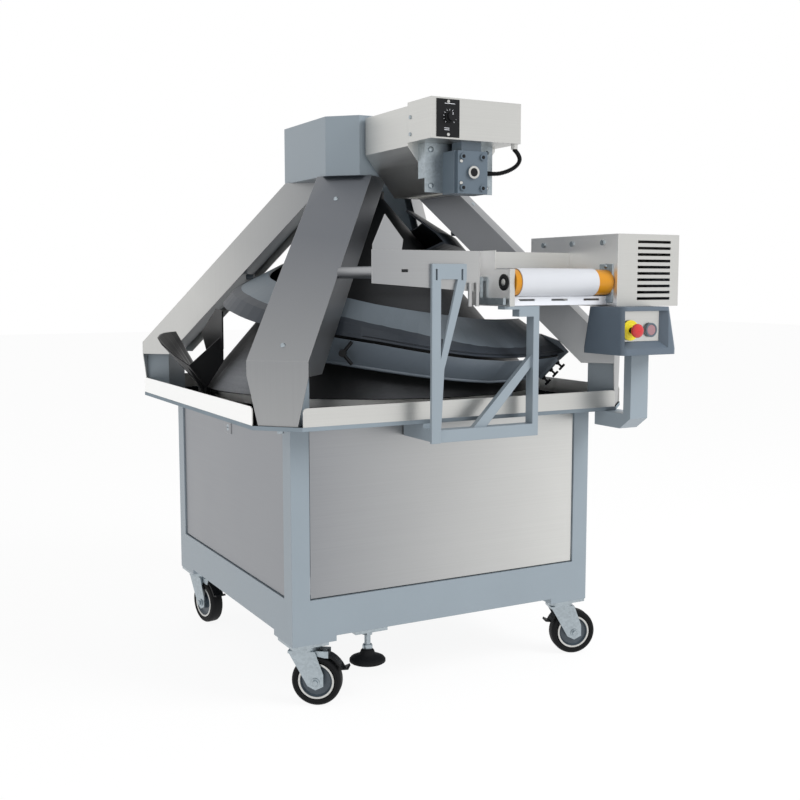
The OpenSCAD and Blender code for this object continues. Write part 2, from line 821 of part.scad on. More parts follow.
module infeed_chute() {
    color(black) {
        swept_strip([for (i = [0:len(chute_turns) - 1])
            chute_ring(chute_turns[i], chute_reach_shares[i], chute_rise_shares[i])]);
        rotate([0, 0, web_turn]) upright([
            [chute_foot_r + chute_t / 2, table_top + chute_foot_h / 2],
            chute_top(web_share, web_share) + [chute_t, 0],
            [fin_x - fin_t, table_top + chute_top_up], [fin_x - fin_t, table_top + fin_up * fin_foot_share],
            [chute_foot_r - chute_t, table_top + chute_foot_h]], chute_t);
        translate([-fin_x - fin_t, 0, table_top])
            crosswise([for (i = [0:len(fin_up_shares) - 1])
                [fin_l * fin_back_shares[i], fin_up * fin_up_shares[i]]], fin_t);
    }
}

// Flour duster

hopper_back = -(hub_half + hopper_gap);
hopper_front = hopper_back - hopper_l;
hopper_top = hub_bottom + hopper_top_up;
trough_top = hopper_top - hopper_side_h;
trough_low = trough_top - trough_h;
agitator_up = 42;
agitator_z = trough_low + agitator_up;
duster_box_top = hopper_top + duster_box_step;
duster_box_low = duster_box_top - duster_box_h;
duster_box_front = hopper_front - duster_box_d;
outlet_w = 40;
outlet_margin = 20;
hopper_mount_w = 120;
hopper_mount_h = 70;

function hopper_outline(inset, lift) = [[hopper_w / 2 - inset, hopper_top + lift],
    [hopper_w / 2 - inset, trough_top], [trough_floor_w / 2 - inset / 2, trough_low + inset],
    [-trough_floor_w / 2 + inset / 2, trough_low + inset], [-hopper_w / 2 + inset, trough_top],
    [-hopper_w / 2 + inset, hopper_top + lift]];

module duster_hopper() {
    middle = (hopper_back + hopper_front) / 2;
    color(bright) difference() {
        union() {
            translate([0, middle, 0]) upright(hopper_outline(0, 0), hopper_l);
            span([-hopper_mount_w / 2, hopper_back, hopper_top - hopper_mount_h],
                [hopper_mount_w / 2, -hub_half, hopper_top]);
        }
        translate([0, middle, 0]) upright(hopper_outline(hopper_t, overrun), hopper_l - 2 * hopper_t);
        span([-outlet_w / 2, hopper_front + outlet_margin, trough_low - overrun],
            [outlet_w / 2, hopper_back - outlet_margin, trough_low + overrun]);
        translate([0, hopper_front - overrun, agitator_z])
            rod_y(agitator_shaft_r + fit, hopper_l + 2 * overrun);
    }
}

gear_plate_y = hopper_front - gear_bracket_d;
gear_front = gear_plate_y - gear_d;
agitator_blades = 6;
agitator_blade_t = 5;
agitator_margin = 8;
agitator_tail = 6;

module agitator() {
    color(zinc) {
        translate([0, gear_front, agitator_z])
            rod_y(agitator_shaft_r, hopper_back + agitator_tail - gear_front - hopper_t);
        for (i = [0:agitator_blades / 2 - 1])
            translate([0, hopper_front + agitator_margin, agitator_z]) rotate([0, i * 360 / agitator_blades, 0])
                span([-agitator_r, 0, -agitator_blade_t / 2],
                    [agitator_r, hopper_l - 2 * agitator_margin, agitator_blade_t / 2]);
    }
}

gear_neck_w = 56;
gear_neck_d = 44;
gear_gland_r = 9;
gear_gland_l = 12;
conduit_y = gear_plate_y - gear_d / 2;
conduit_start_z = agitator_z + conduit_r / 2;
conduit_end_x = hopper_w / 2 - gear_gland_r;
conduit_end_y = duster_box_front + gear_gland_r + overrun;
conduit_bulge = 30;
boss_r = 8;
boss_in = 14;
boss_h = 4;
gear_mid_y = gear_front + gear_d / 2;

module duster_control_box() {
    half = hopper_w / 2;
    color(bright) {
        difference() {
            span([-half, duster_box_front, duster_box_low], [half, hopper_front, duster_box_top]);
            span([-half + hopper_t, duster_box_front + hopper_t, duster_box_low + hopper_t],
                [half - hopper_t, hopper_front - hopper_t, duster_box_top - hopper_t]);
            span([-gear_neck_w / 4, gear_mid_y - gear_neck_d / 4, duster_box_low - overrun],
                [gear_neck_w / 4, gear_mid_y + gear_neck_d / 4, duster_box_low + overrun]);
            translate([knob_x, duster_box_front - overrun, knob_z])
                rod_y(knob_shaft_r + knob_hole_gap, 2 * overrun);
        }
        translate([conduit_end_x, conduit_end_y, duster_box_low - gear_gland_l])
            cylinder(r = gear_gland_r, h = gear_gland_l, $fn = 6);
    }
}

knob_plate_w = 62;
knob_plate_margin = 4;
knob_plate_t = 2;
knob_plate_left = 112;
knob_in = 35;
knob_up_share = 0.53;
knob_hole_gap = 1;
knob_line_d = 1;
knob_x = -knob_plate_left + knob_in;
knob_z = duster_box_low + duster_box_h * knob_up_share;
knob_l = 14;
knob_shaft_r = 3;
knob_shaft_l = 12;

module duster_control_plate() {
    color(black) difference() {
        span([-knob_plate_left, duster_box_front - knob_plate_t, duster_box_low + knob_plate_margin],
            [-knob_plate_left + knob_plate_w, duster_box_front, duster_box_top - knob_plate_margin]);
        translate([knob_x, duster_box_front - overrun, knob_z]) rod_y(knob_shaft_r + fit, 2 * overrun);
    }
}

module speed_knob() {
    face = duster_box_front - knob_plate_t - run_gap;
    color(black) difference() {
        translate([knob_x, face - knob_l, knob_z]) {
            rod_y(knob_r, knob_l);
            rod_y(knob_shaft_r, knob_l + knob_shaft_l);
        }
        span([knob_x - knob_shaft_r / 4, face - knob_l - overrun, knob_z],
            [knob_x + knob_shaft_r / 4, face - knob_l + knob_line_d, knob_z + knob_r + overrun]);
    }
}

gear_plate_t = 3;
gear_plate_half = 97;
gear_side_inset = 9;
gear_plate_drop = 46;
gear_plate_gap = 2;
gear_plate_low = agitator_z - gear_plate_drop;
gear_hole_r = 5;
gear_hole_in = 16;

module duster_gear_bracket() {
    high = duster_box_low;
    color(zinc) difference() {
        union() {
            span([-gear_plate_half, gear_plate_y, gear_plate_low],
                [gear_plate_half, gear_plate_y + gear_plate_t, high]);
            for (side = [-1, 1]) {
                x = side * (gear_plate_half - gear_plate_t / 2);
                translate([x, 0, 0]) span([-gear_plate_t / 2, gear_plate_y, gear_plate_low + gear_bracket_d],
                    [gear_plate_t / 2, hopper_front, high]);
            }
        }
        for (x = [-gear_plate_half + gear_hole_in, gear_plate_half - gear_hole_in])
            for (z = [gear_plate_low + gear_hole_in, high - gear_hole_in])
                translate([x, gear_plate_y - overrun, z]) rod_y(gear_hole_r, gear_plate_t + 2 * overrun);
        translate([0, gear_plate_y - overrun, agitator_z])
            rod_y(agitator_shaft_r + gear_plate_gap, gear_plate_t + 2 * overrun);
    }
}

module duster_gearbox() {
    low = agitator_z - gear_h / 2;
    color(gear_blue) difference() {
        union() {
            span([-gear_w / 2, gear_front + boss_h, low], [gear_w / 2, gear_plate_y, low + gear_h]);
            span([-gear_w / 2 - gear_side_w, gear_front + boss_h + gear_side_inset, low],
                [-gear_w / 2, gear_plate_y, low + gear_h]);
            for (x = [-1, 1]) for (z = [-1, 1])
                translate([x * (gear_w / 2 - boss_in), gear_front, agitator_z + z * (gear_h / 2 - boss_in)])
                    rod_y(boss_r, boss_h);
            translate([0, gear_front, agitator_z]) rod_y(2 * agitator_shaft_r, boss_h);
            span([-gear_neck_w / 2, gear_mid_y - gear_neck_d / 2, low + gear_h],
                [gear_neck_w / 2, gear_mid_y + gear_neck_d / 2, duster_box_low]);
            translate([gear_w / 2, conduit_y, conduit_start_z]) rod_x(gear_gland_r, gear_gland_l);
        }
        translate([0, gear_front - overrun, agitator_z]) rod_y(agitator_shaft_r + fit, gear_d + 2 * overrun);
    }
}

// Ribbed conduit from the gearbox's side to the underside of the control box
conduit_from = [gear_w / 2 + gear_gland_l, conduit_y, conduit_start_z];
conduit_to = [conduit_end_x, conduit_end_y, duster_box_low - gear_gland_l];
conduit_reach = [conduit_bulge, 0, 0];
conduit_shares = [[0, 0, 0, 0], [0.25, 0, 0, 0], [0.6, 0.15, 0.02, 0], [0.85, 0.4, 0.15, 0.25],
    [0.98, 0.65, 0.36, 0.55], [1, 0.85, 0.6, 0.66], [1, 0.95, 0.82, 0.4], [1, 1, 1, 0]];
conduit_points = [for (s = conduit_shares) let (way = conduit_to - conduit_from)
    conduit_from + [way[0] * s[0], way[1] * s[1], way[2] * s[2]] + conduit_reach * s[3]];
conduit_sides = 8;

// A point of the smooth curve through the route
function route_point(pts, t) = let (last = len(pts) - 2, i = min(last, floor(t)), u = t - i,
    a = pts[max(0, i - 1)], b = pts[i], c = pts[i + 1], d = pts[min(last + 1, i + 2)])
    ((2 * b) + (c - a) * u + (2 * a - 5 * b + 4 * c - d) * u * u + (3 * b - a - 3 * c + d) * u * u * u) / 2;
function unit(v) = v / norm(v);

module duster_conduit() {
    count = 2 * conduit_ribs;
    stretches = len(conduit_points) - 1;
    n = conduit_sides;
    centres = [for (i = [0:count]) route_point(conduit_points, stretches * i / count)];
    ways = [for (i = [0:count]) i == 0 ? [1, 0, 0] : i == count ? [0, 0, 1]
        : unit(centres[i + 1] - centres[i - 1])];
    function loop(i, r) = let (across = unit(cross(ways[i], [0, 1, 0])), other = cross(ways[i], across))
        [for (k = [0:n - 1]) centres[i] + r * (across * cos(360 * k / n) + other * sin(360 * k / n))];
    outer = [for (i = [0:count]) each loop(i, i % 2 == 0 ? conduit_root_r : conduit_r)];
    inner = [for (i = [0:count]) each loop(i, conduit_bore_r)];
    m = len(outer);
    walls = [for (i = [0:count - 1]) for (k = [0:n - 1])
        let (a = i * n + k, b = i * n + (k + 1) % n)
        each [[a, b, b + n], [a, b + n, a + n], [m + a, m + b + n, m + b], [m + a, m + a + n, m + b + n]]];
    ends = [for (k = [0:n - 1]) let (a = k, b = (k + 1) % n, e = count * n)
        each [[a, m + b, b], [a, m + a, m + b], [e + a, e + b, e + m + b], [e + a, e + m + b, e + m + a]]];
    color(black) polyhedron(concat(outer, inner), concat(walls, ends), 10);
}

// Conveyor

roller_y = -(table_half + roller_out);
roller_z = table_top + roller_up;
drive_roller_y = roller_y + roller_pitch;
housing_x = side_plate_x + roller_l;
housing_low = roller_z - housing_below;
housing_high = housing_low + housing_h;
housing_y = roller_y - housing_front;
housing_back = housing_y + housing_d;
belt_gap = run_gap;
belt_left_share = 0.27;
belt_inner = roller_r + belt_gap;
belt_outer = belt_inner + belt_t;
belt_x = side_plate_x + (roller_l - belt_w) * belt_left_share;
side_plate_over = 26;
side_plate_drop = 58;
side_plate_rise = 32;
side_plate_low = roller_z - side_plate_drop;
side_plate_high = roller_z + side_plate_rise;
bed_t = 6;
bed_margin = 40;
guard_h = 46;
guard_t = 3;
strip_t = 3;
bush_t = 8;
tie_r = 7;
roller_end_gap = 2;

module stadium(r) {
    for (y = [roller_y, drive_roller_y]) translate([y, roller_z]) circle(r);
    translate([roller_y, roller_z - r]) square([roller_pitch, 2 * r]);
}

module conveyor_belt() {
    color(white) translate([belt_x, 0, 0]) rotate([90, 0, 90]) linear_extrude(belt_w) difference() {
        stadium(belt_outer);
        stadium(belt_inner);
    }
}

module conveyor_roller(y) {
    color(amber) translate([side_plate_x, y, roller_z]) {
        translate([roller_end_gap, 0, 0]) rod_x(roller_r, roller_l - 2 * roller_end_gap);
        translate([-side_plate_t, 0, 0]) rod_x(journal_r, roller_l + side_plate_t + bush_t);
    }
}

module front_roller() {
    conveyor_roller(roller_y);
}

module drive_roller() {
    conveyor_roller(drive_roller_y);
}

module conveyor_frame() {
    far = side_plate_x - side_plate_t;
    color(white) difference() {
        union() {
            span([far, roller_y - side_plate_over, side_plate_low],
                [side_plate_x, drive_roller_y + side_plate_over, side_plate_high]);
            span([side_plate_x, roller_y + bed_margin, roller_z + roller_r - bed_t - belt_gap],
                [housing_x, drive_roller_y - bed_margin, roller_z + roller_r - belt_gap]);
            translate([side_plate_x, (roller_y + drive_roller_y) / 2, roller_z - roller_r / 2])
                rod_x(tie_r, roller_l);
            span([far, roller_y + bed_margin, side_plate_high],
                [far + guard_t, drive_roller_y + side_plate_over, side_plate_high + guard_h]);
            span([far, drive_roller_y + side_plate_over - guard_t, side_plate_high],
                [housing_x, drive_roller_y + side_plate_over, side_plate_high + guard_h]);
        }
        for (y = [roller_y, drive_roller_y])
            translate([far - overrun, y, roller_z]) rod_x(journal_r + fit, side_plate_t + 2 * overrun);
    }
}

lever_in = 94;
lever_rise = 6;
lever_pivot_y = roller_y + lever_in;
lever_pivot_z = roller_z + lever_rise;
lever_t = 8;
lever_w = 16;
lever_l = 110;
lever_drop = 60;
lever_stand = 5;
lever_pivot_r = 6;

// Cranked lever that slackens the belt
module belt_lever() {
    x = side_plate_x - side_plate_t - lever_stand - lever_t;
    low = lever_pivot_z - lever_drop;
    color(zinc) {
        span([x, lever_pivot_y - lever_w / 2, low],
            [x + lever_t, lever_pivot_y + lever_w / 2, lever_pivot_z + lever_w / 2]);
        span([x, lever_pivot_y - lever_l, low], [x + lever_t, lever_pivot_y, low + lever_w]);
        translate([x - lever_t / 2, lever_pivot_y, lever_pivot_z])
            rod_x(lever_pivot_r, 1.5 * lever_t + lever_stand - run_gap);
    }
}

scraper_t = 4;
scraper_h = 22;
scraper_gap = 0.4;
scraper_slots = 3;
scraper_slot_h = 5;
scraper_slot_share = 0.5;

module belt_scraper() {
    high = roller_z - belt_outer - scraper_gap;
    pitch = roller_l / scraper_slots;
    slot = pitch * scraper_slot_share;
    color(white) difference() {
        span([side_plate_x, roller_y - scraper_t, high - scraper_h], [housing_x, roller_y, high]);
        for (i = [0:scraper_slots - 1])
            translate([side_plate_x + pitch * (i + 0.5) - slot / 2, roller_y - scraper_t - overrun,
                high - scraper_h / 2]) cube([slot, scraper_t + 2 * overrun, scraper_slot_h]);
    }
}

vent_share = 0.54;
vent_right_share = 0.14;
vent_h = 7;

// Side outline of the housing, its lower back cut off along the leg beside it
housing_cut_y = 160;
housing_cut_share = 0.6574;
housing_cut_h = (housing_d - housing_cut_y) * housing_cut_share;

function housing_outline(inset) = let (slant = inset / 2) [[housing_y + inset, housing_low + inset],
    [housing_y + housing_cut_y - slant, housing_low + inset],
    [housing_back - inset, housing_low + housing_cut_h + slant],
    [housing_back - inset, housing_high - inset], [housing_y + inset, housing_high - inset]];

module conveyor_housing() {
    high_x = housing_x + housing_w;
    vent_w = housing_w * vent_share;
    vent_x = high_x - housing_w * vent_right_share - vent_w;
    vent_z = (housing_low + housing_high) / 2 - (vent_count - 1) * vent_pitch / 2 - vent_h / 2;
    color(bright) difference() {
        translate([housing_x, 0, 0]) crosswise(housing_outline(0), housing_w);
        translate([housing_x + housing_t, 0, 0])
            crosswise(housing_outline(housing_t), housing_w - 2 * housing_t);
        for (i = [0:vent_count - 1])
            translate([vent_x, housing_y - overrun, vent_z + i * vent_pitch])
                cube([vent_w, overrun + 2 * housing_t, vent_h]);
        for (y = [roller_y, drive_roller_y])
            translate([housing_x - overrun, y, roller_z]) rod_x(journal_r + fit, 3 * overrun);
    }
}

gear_motor_r = 38;
gear_motor_l = 150;
gear_motor_gap = 1;
motor_foot_share = 1.1;

module conveyor_motor() {
    x = housing_x + housing_t + bush_t + gear_motor_gap;
    color(gear_blue) difference() {
        union() {
            translate([x, drive_roller_y, roller_z]) rod_x(gear_motor_r, gear_motor_l);
            translate([x + gear_motor_l / 3, drive_roller_y - gear_motor_r * motor_foot_share,
                housing_low + housing_t])
                block(gear_motor_l / 2, gear_motor_r, housing_below - housing_t);
        }
        translate([x - overrun, drive_roller_y, roller_z]) rod_x(journal_r + fit, 2 * overrun);
    }
}

// Guide plate, its bracket and forked strut

guide_y = -(table_half + bar_out + bar_w / 2);
guide_top = table_top + guide_top_up;
guide_slot_l = 18;
guide_slot_h = 7;
guide_slot_left = 230;
guide_rod_r = 14;
guide_rod_x = 288;
guide_rod_below = 51;
fin_plate_w = 78;
fin_plate_up = 80;
fin_plate_lap = 30;
fin_plate_shares = [0.15, 0.4, 0.3, 0.9];
fin_plate_left = 302;
pin_h = 56;
pin_drop = 34;
guide_pin_r = 5;
guide_pin_sink = 1;

module guide_plates() {
    right = -guide_left + guide_l;
    rod_z = guide_top - guide_rod_below;
    rod_l = -guide_y - guide_t;
    color(bright) {
        difference() {
            translate([0, guide_y + guide_t / 2, 0]) upright([[-guide_left, guide_top],
                [-guide_left, guide_top - guide_h_left], [right, guide_top - guide_h_right],
                [right, guide_top]], guide_t);
            span([-guide_slot_left, guide_y - overrun, guide_top - guide_rod_below],
                [-guide_slot_left + guide_slot_l, guide_y + 2 * overrun,
                    guide_top - guide_rod_below + guide_slot_h]);
        }
        translate([0, guide_y + guide_t + strip_t / 2, 0]) upright([
            [-fin_plate_left, guide_top - fin_plate_lap],
            [-fin_plate_left, guide_top + fin_plate_up * fin_plate_shares[0]],
            [-fin_plate_left + fin_plate_w * fin_plate_shares[1], guide_top + fin_plate_up],
            [-fin_plate_left + fin_plate_w, guide_top + fin_plate_up * fin_plate_shares[2]],
            [-fin_plate_left + fin_plate_w * fin_plate_shares[3], guide_top - fin_plate_lap]], strip_t);
        difference() {
            translate([-guide_rod_x, guide_y + guide_t, rod_z]) rod_y(guide_rod_r, rod_l);
            rotate([0, 0, 225]) translate([0, 0, rod_z]) span([-2 * table_half, -table_half, -2 * guide_rod_r],
                [2 * table_half, leg_w / 2 + fit, 2 * guide_rod_r]);
        }
        for (x = [right - 2 * guide_pin_r, right - 6 * guide_pin_r])
            translate([x, guide_y - guide_pin_r + guide_pin_sink, guide_top - guide_h_right - pin_drop])
                cylinder(r = guide_pin_r, h = pin_h);
    }
}

bar_drop = 10;
bar_low = frame_top - bar_drop - bar_w;
bar_y = -(table_half + bar_out);
bar_post_w = 17;
bar_block_h = 26;
bar_stub_x = bar_left - bar_w / 2;
brace_foot_x = 10;
brace_top_up = 152;
bar_arm_t = 8;
bar_block_right = 60;
strut_left = 153;
strut_top_w = 94;
strut_bar_w = 24;
strut_plate_h = 36;
strut_join_up = 145;
strut_below = 31;
strut_bend_share = 1.4;
strut_top = guide_top - strut_below;
strut_slot_w = 5;
strut_slot_h = 26;

module bracket_frame() {
    half = bar_w / 2;
    high = bar_low + bar_w;
    y = bar_y - half - strut_t / 2;
    join_z = high + strut_join_up;
    plate_low = strut_top - strut_plate_h;
    left = -strut_left;
    right = left + strut_top_w;
    post_top = side_plate_low;
    color(paint) {
        // Tubes from under the table to the conveyor
        tube_span([-bar_stub_x - half, bar_y + half, bar_low], [-bar_stub_x + half, -cabinet_half, high],
            tube_wall, 1);
        tube_span([-bar_left, bar_y - half, bar_low], [bar_right, bar_y + half, high], tube_wall, 0);
        span([-bar_left, -table_half, high], [-bar_left + bar_w, -cabinet_half - bar_w, frame_top]);
        tube_span([bar_right - bar_post_w, bar_y - half, high], [bar_right, bar_y + half, post_top - bar_block_h],
            tube_wall, 2);
        span([side_plate_x - side_plate_t, bar_y - half, post_top - bar_arm_t],
            [bar_right, bar_y + half, post_top]);
        span([bar_right - bar_block_right, bar_y - half, post_top - bar_block_h],
            [bar_right, bar_y + half, post_top - bar_arm_t]);
        // Diagonal brace between the front tube and the post
        translate([0, bar_y, 0]) upright([[-brace_foot_x - bar_post_w, high], [brace_foot_x, high],
            [bar_right - bar_post_w, table_top + brace_top_up - bar_w],
            [bar_right - bar_post_w, table_top + brace_top_up]], bar_w / 2);
        // Forked strut with its slotted head
        translate([0, y, 0]) difference() {
            upright([[left, bar_low], [left + strut_bar_w, bar_low],
                [left + strut_bend_share * strut_bar_w, join_z], [right, plate_low], [right, strut_top], [left, strut_top]], strut_t);
            upright([[left + strut_bar_w, join_z + strut_bar_w], [right - strut_bar_w, plate_low],
                [left + strut_bar_w, plate_low]], strut_t + 2 * overrun);
            for (x = [left + strut_bar_w / 2, right - strut_bar_w / 2])
                translate([x - strut_slot_w / 2, -strut_t, plate_low - strut_slot_h + strut_bar_w])
                    cube([strut_slot_w, 2 * strut_t, strut_slot_h]);
        }
    }
}

// Arm and control box

arm_right_of_box = 30;
arm_x = pendant_x + arm_right_of_box;
arm_out = 101;
arm_under = 43;
arm_post_d = 28;
arm_front = -(table_half + arm_out);
arm_back = -(table_half - arm_under);
arm_low = frame_top - arm_d;
pendant_high = housing_low;
pendant_low = pendant_high - pendant_h;
pendant_out = 174;
pendant_front = -(table_half + pendant_out);
pendant_back = pendant_front + pendant_d;
arm_chamfer = 29;
arm_slope_d = 41;

// Outline of the arm's tube, set inwards by the wall for its inside
function arm_outline(inset, past) = [[arm_back + past, frame_top - inset],
    [arm_front + arm_post_d - inset, frame_top - inset],
    [arm_front + arm_post_d - inset, pendant_low + past], [arm_front + inset, pendant_low + past],
    [arm_front + inset, arm_low + arm_chamfer + inset / 2],
    [arm_front + arm_slope_d + inset / 2, arm_low + inset], [arm_back + past, arm_low + inset]];

module control_arm() {
    color(paint) translate([arm_x - arm_w / 2, 0, 0]) difference() {
        crosswise(arm_outline(0, 0), arm_w);
        translate([tube_wall, 0, 0]) crosswise(arm_outline(tube_wall, overrun), arm_w - 2 * tube_wall);
    }
}

pendant_round = 14;
pendant_taper = 22;
pocket_w = 121;
pocket_h = 88;
pocket_d = 46;
pocket_margin = 12;
panel_plate_t = 4;
panel_set = 17;
pocket_slope = 18;
stop_stand = 14;
slab_t = 1;
stop_left = 55;
start_right = 10;
stop_x = pendant_x - stop_left;
start_x = pendant_x + start_right;
button_up = 62;
pocket_left = 20.5;
pocket_up = 34;
pocket_x = pendant_x - pocket_left;
pocket_low = pendant_low + pocket_up;
pocket_l = pocket_x - pocket_w / 2;
pocket_r = pocket_x + pocket_w / 2;
pocket_high = pocket_low + pocket_h - pocket_margin;
plate_y = pendant_front + panel_set;
button_z = pendant_low + button_up;

module rounded_slab(low, high, z) {
    for (x = [low[0] + pendant_round, high[0] - pendant_round])
        for (y = [low[1] + pendant_round, high[1] - pendant_round])
            translate([x, y, z]) cylinder(r = pendant_round, h = slab_t, $fn = hull_fn);
}

module control_box() {
    half = pendant_w / 2;
    color(slate) difference() {
        hull() {
            rounded_slab([pendant_x - half, pendant_front], [pendant_x + half, pendant_back], pendant_low);
            rounded_slab([pendant_x - half, pendant_front], [pendant_x + half, pendant_back],
                pendant_low + pendant_round);
            rounded_slab([pendant_x - half, pendant_front + slab_t],
                [pendant_x + half - pendant_taper, pendant_back - pendant_taper], pendant_high - slab_t);
        }
        span([pocket_l, pendant_front, pocket_low], [pocket_r, pendant_front + pocket_d, pocket_high]);
        hull() {
            span([pocket_l, pendant_front - slab_t, pocket_low - pocket_slope],
                [pocket_r + pocket_slope, pendant_front, pocket_high]);
            span([pocket_l, plate_y, pocket_low], [pocket_r, plate_y + slab_t, pocket_high]);
        }
    }
}

stop_ring_r = 22;
stop_ring_t = 4;
stop_stem_r = 8;
stop_head_t = 14;
start_head_t = 8;
start_ring_r = 16;
stem_tail = 26;

module control_plate() {
    color(bright) difference() {
        union() {
            span([pocket_l + fit, plate_y, pocket_low + fit],
                [pocket_r - fit, plate_y + panel_plate_t, pocket_high - fit]);
            translate([stop_x, plate_y - stop_ring_t, button_z]) rod_y(stop_ring_r, stop_ring_t);
            translate([start_x, plate_y - stop_ring_t, button_z]) rod_y(start_ring_r, stop_ring_t);
        }
        translate([stop_x, plate_y - stop_ring_t - overrun, button_z]) rod_y(stop_stem_r + fit, 4 * overrun);
        translate([start_x, plate_y - stop_ring_t - overrun, button_z]) rod_y(start_r + fit, 4 * overrun);
    }
}

module stop_button() {
    face = plate_y - stop_ring_t - stop_travel - run_gap - stop_stand;
    color(red) translate([stop_x, 0, button_z]) {
        translate([0, face - stop_head_t, 0]) rod_y(stop_r, stop_head_t);
        translate([0, face, 0]) rod_y(stop_stem_r, stem_tail + stop_stand);
    }
}

module start_button() {
    face = plate_y - stop_ring_t - start_travel - run_gap;
    color(white) translate([start_x, face, button_z]) rod_y(start_r, start_travel + start_head_t);
}

// Levelling feet

pad_h = 22;
pad_share = 0.6;
stem_top = rail_bottom + foot_clear;
bracket_plate_w = 90;
bracket_plate_t = 8;
nut_r = 14;
nut_h = 10;

module levelling_foot() {
    color(black) translate([0, 0, foot_clear]) {
        cylinder(r = foot_r, h = pad_h * pad_share);
        translate([0, 0, pad_h * pad_share])
            cylinder(r1 = foot_r, r2 = 2 * stem_r, h = pad_h * (1 - pad_share));
        cylinder(r = stem_r, h = stem_top - foot_clear);
        translate([0, 0, pad_h]) cylinder(r = nut_r, h = nut_h, $fn = 6);
    }
}

module foot_front() {
    translate([-foot_along, -foot_y, 0]) levelling_foot();
}

module foot_rear() {
    translate([foot_along, foot_y, 0]) levelling_foot();
}

// Fasteners

dome_r = 7;
dome_h = 4;
duster_bolt_shares = [0.2, 0.62];
housing_screw_shares = [0.16, 0.5, 0.84];
small_share = 0.667;
table_bolt_r = 8;
table_bolt_h = 8;

module fasteners() {
    color(zinc) {
        // Screws of the leg covers
        for (turn = leg_angles) for (s = leg_screw_shares) rotate([0, 0, turn])
            translate([leg_r - leg_run * s * cos(leg_slope), 0, leg_fold_z + leg_run * s * sin(leg_slope)])
                rotate([0, leg_slope, 0]) cylinder(r1 = dome_r, r2 = dome_r / 2, h = dome_h);
        // Bolts of the legs under the table
        for (turn = leg_angles) rotate([0, 0, turn])
            translate([leg_r - 2 * table_bolt_r, 0, frame_top - table_bolt_h])
                cylinder(r = table_bolt_r, h = table_bolt_h, $fn = 6);
        // Screws on the duster's control box and on the drive housing
        for (s = duster_bolt_shares)
            translate([-hopper_w / 2 - dome_h / 2, hopper_front - 2 * dome_r, duster_box_low + duster_box_h * s])
                rod_x(dome_r * small_share, dome_h / 2);
        for (s = housing_screw_shares)
            translate([housing_x - dome_h, housing_y + housing_d * s, housing_high - 3 * dome_r])
                rod_x(dome_r, dome_h);
        // Plates and nuts that guide the levelling feet
        for (side = [-1, 1]) translate([side * foot_along, side * foot_y, rail_bottom - bracket_plate_t])
            difference() {
                union() {
                    block(bracket_plate_w, post_w, bracket_plate_t);
                    translate([0, 0, -nut_h]) cylinder(r = nut_r, h = nut_h, $fn = 6);
                }
                translate([0, 0, -nut_h - overrun])
                    cylinder(r = stem_r + fit, h = nut_h + bracket_plate_t + 2 * overrun);
            }
    }
}

// Casters

caster_turns = [-36, -18, -80, -30];
pedal_sides = [1, -1, 1, 1];
caster_signs = [[-1, -1], [1, -1], [-1, 1], [1, 1]];
caster_plate_w = 96;
caster_plate_t = 8;
race_r = 34;
race_h = 14;
fork_t = 5;
fork_gap = 2;
crown_t = 6;
wheel_r = wheel_d / 2;
plate_low = rail_bottom - corner_pad_h - caster_plate_t;
race_top = plate_low - run_gap;
crown_low = race_top - race_h - crown_t;
fork_half = wheel_w / 2 + fork_gap + fork_t;
hub_r = 20;
tread_round = 8;
rim_r_share = 0.72;
rim_step = 5;
pedal_w = 32;
pedal_t = 5;
pedal_gap = 7;
pedal_from = 58;
pedal_to = 26;
pedal_blade = 13;
pedal_edge = 4;
pedal_lap = 1;
pedal_pin_r = 2.5;
pedal_eye_r = 5;
pedal_pin_turn = 68;
pedal_pin_up = 8;
ear_t = 3;
ear_gap = 0.5;

module at_caster(i) {
    translate([caster_signs[i][0] * caster_at, caster_signs[i][1] * caster_at, 0])
        rotate([0, 0, caster_turns[i]]) children();
}

module caster_plates() {
    color(zinc) for (sign = caster_signs) translate([sign[0] * caster_at, sign[1] * caster_at, plate_low])
        difference() {
            block(caster_plate_w, caster_plate_w, caster_plate_t);
            translate([0, 0, -overrun]) cylinder(r = pin_r + fit, h = caster_plate_t + 2 * overrun);
        }
}

// A turn and a distance about the wheel's axle, on the side that bears the pedal
function by_axle(i, turn, r) = [caster_trail + pedal_sides[i] * r * cos(turn), wheel_r + r * sin(turn)];
function pedal_pivot(i) = by_axle(i, pedal_pin_turn, wheel_r + pedal_pin_up);

// Fork with its race, swivel pin, axle and the ears that hold the brake pedal
module caster_fork(i) {
    color(zinc) at_caster(i) {
        translate([0, 0, crown_low + crown_t]) {
            cylinder(r = race_r, h = race_h);
            cylinder(r = pin_r, h = race_h + caster_plate_t);
        }
        span([-race_r, -fork_half, crown_low], [race_r, fork_half, crown_low + crown_t]);
        for (side = [-1, 1]) translate([0, side * (fork_half - fork_t / 2), 0])
            upright([[-race_r, crown_low + crown_t], [caster_trail - hub_r, wheel_r - hub_r / 2],
            [caster_trail, wheel_r - hub_r],
            [caster_trail + hub_r, wheel_r - hub_r / 2], [caster_trail + hub_r, wheel_r + hub_r],
            [race_r, crown_low + crown_t]], fork_t);
        translate([caster_trail, -fork_half - fork_t, wheel_r]) rod_y(axle_r, 2 * fork_half + 2 * fork_t);
        pivot = pedal_pivot(i);
        ear_half = pedal_w / 2 + ear_gap;
        for (side = [-1, 1]) translate([0, side * (ear_half + ear_t / 2), 0])
            upright([[pivot[0] - 2 * pedal_pin_r, pivot[1] - 2 * pedal_pin_r],
                [pivot[0] + 2 * pedal_pin_r, pivot[1] - 2 * pedal_pin_r],
                [pivot[0] + 2 * pedal_pin_r, crown_low + crown_t], [0, crown_low + crown_t],
                [0, crown_low]], ear_t);
        translate([pivot[0], -ear_half - ear_t, pivot[1]]) rod_y(pedal_pin_r, 2 * (ear_half + ear_t));
    }
}

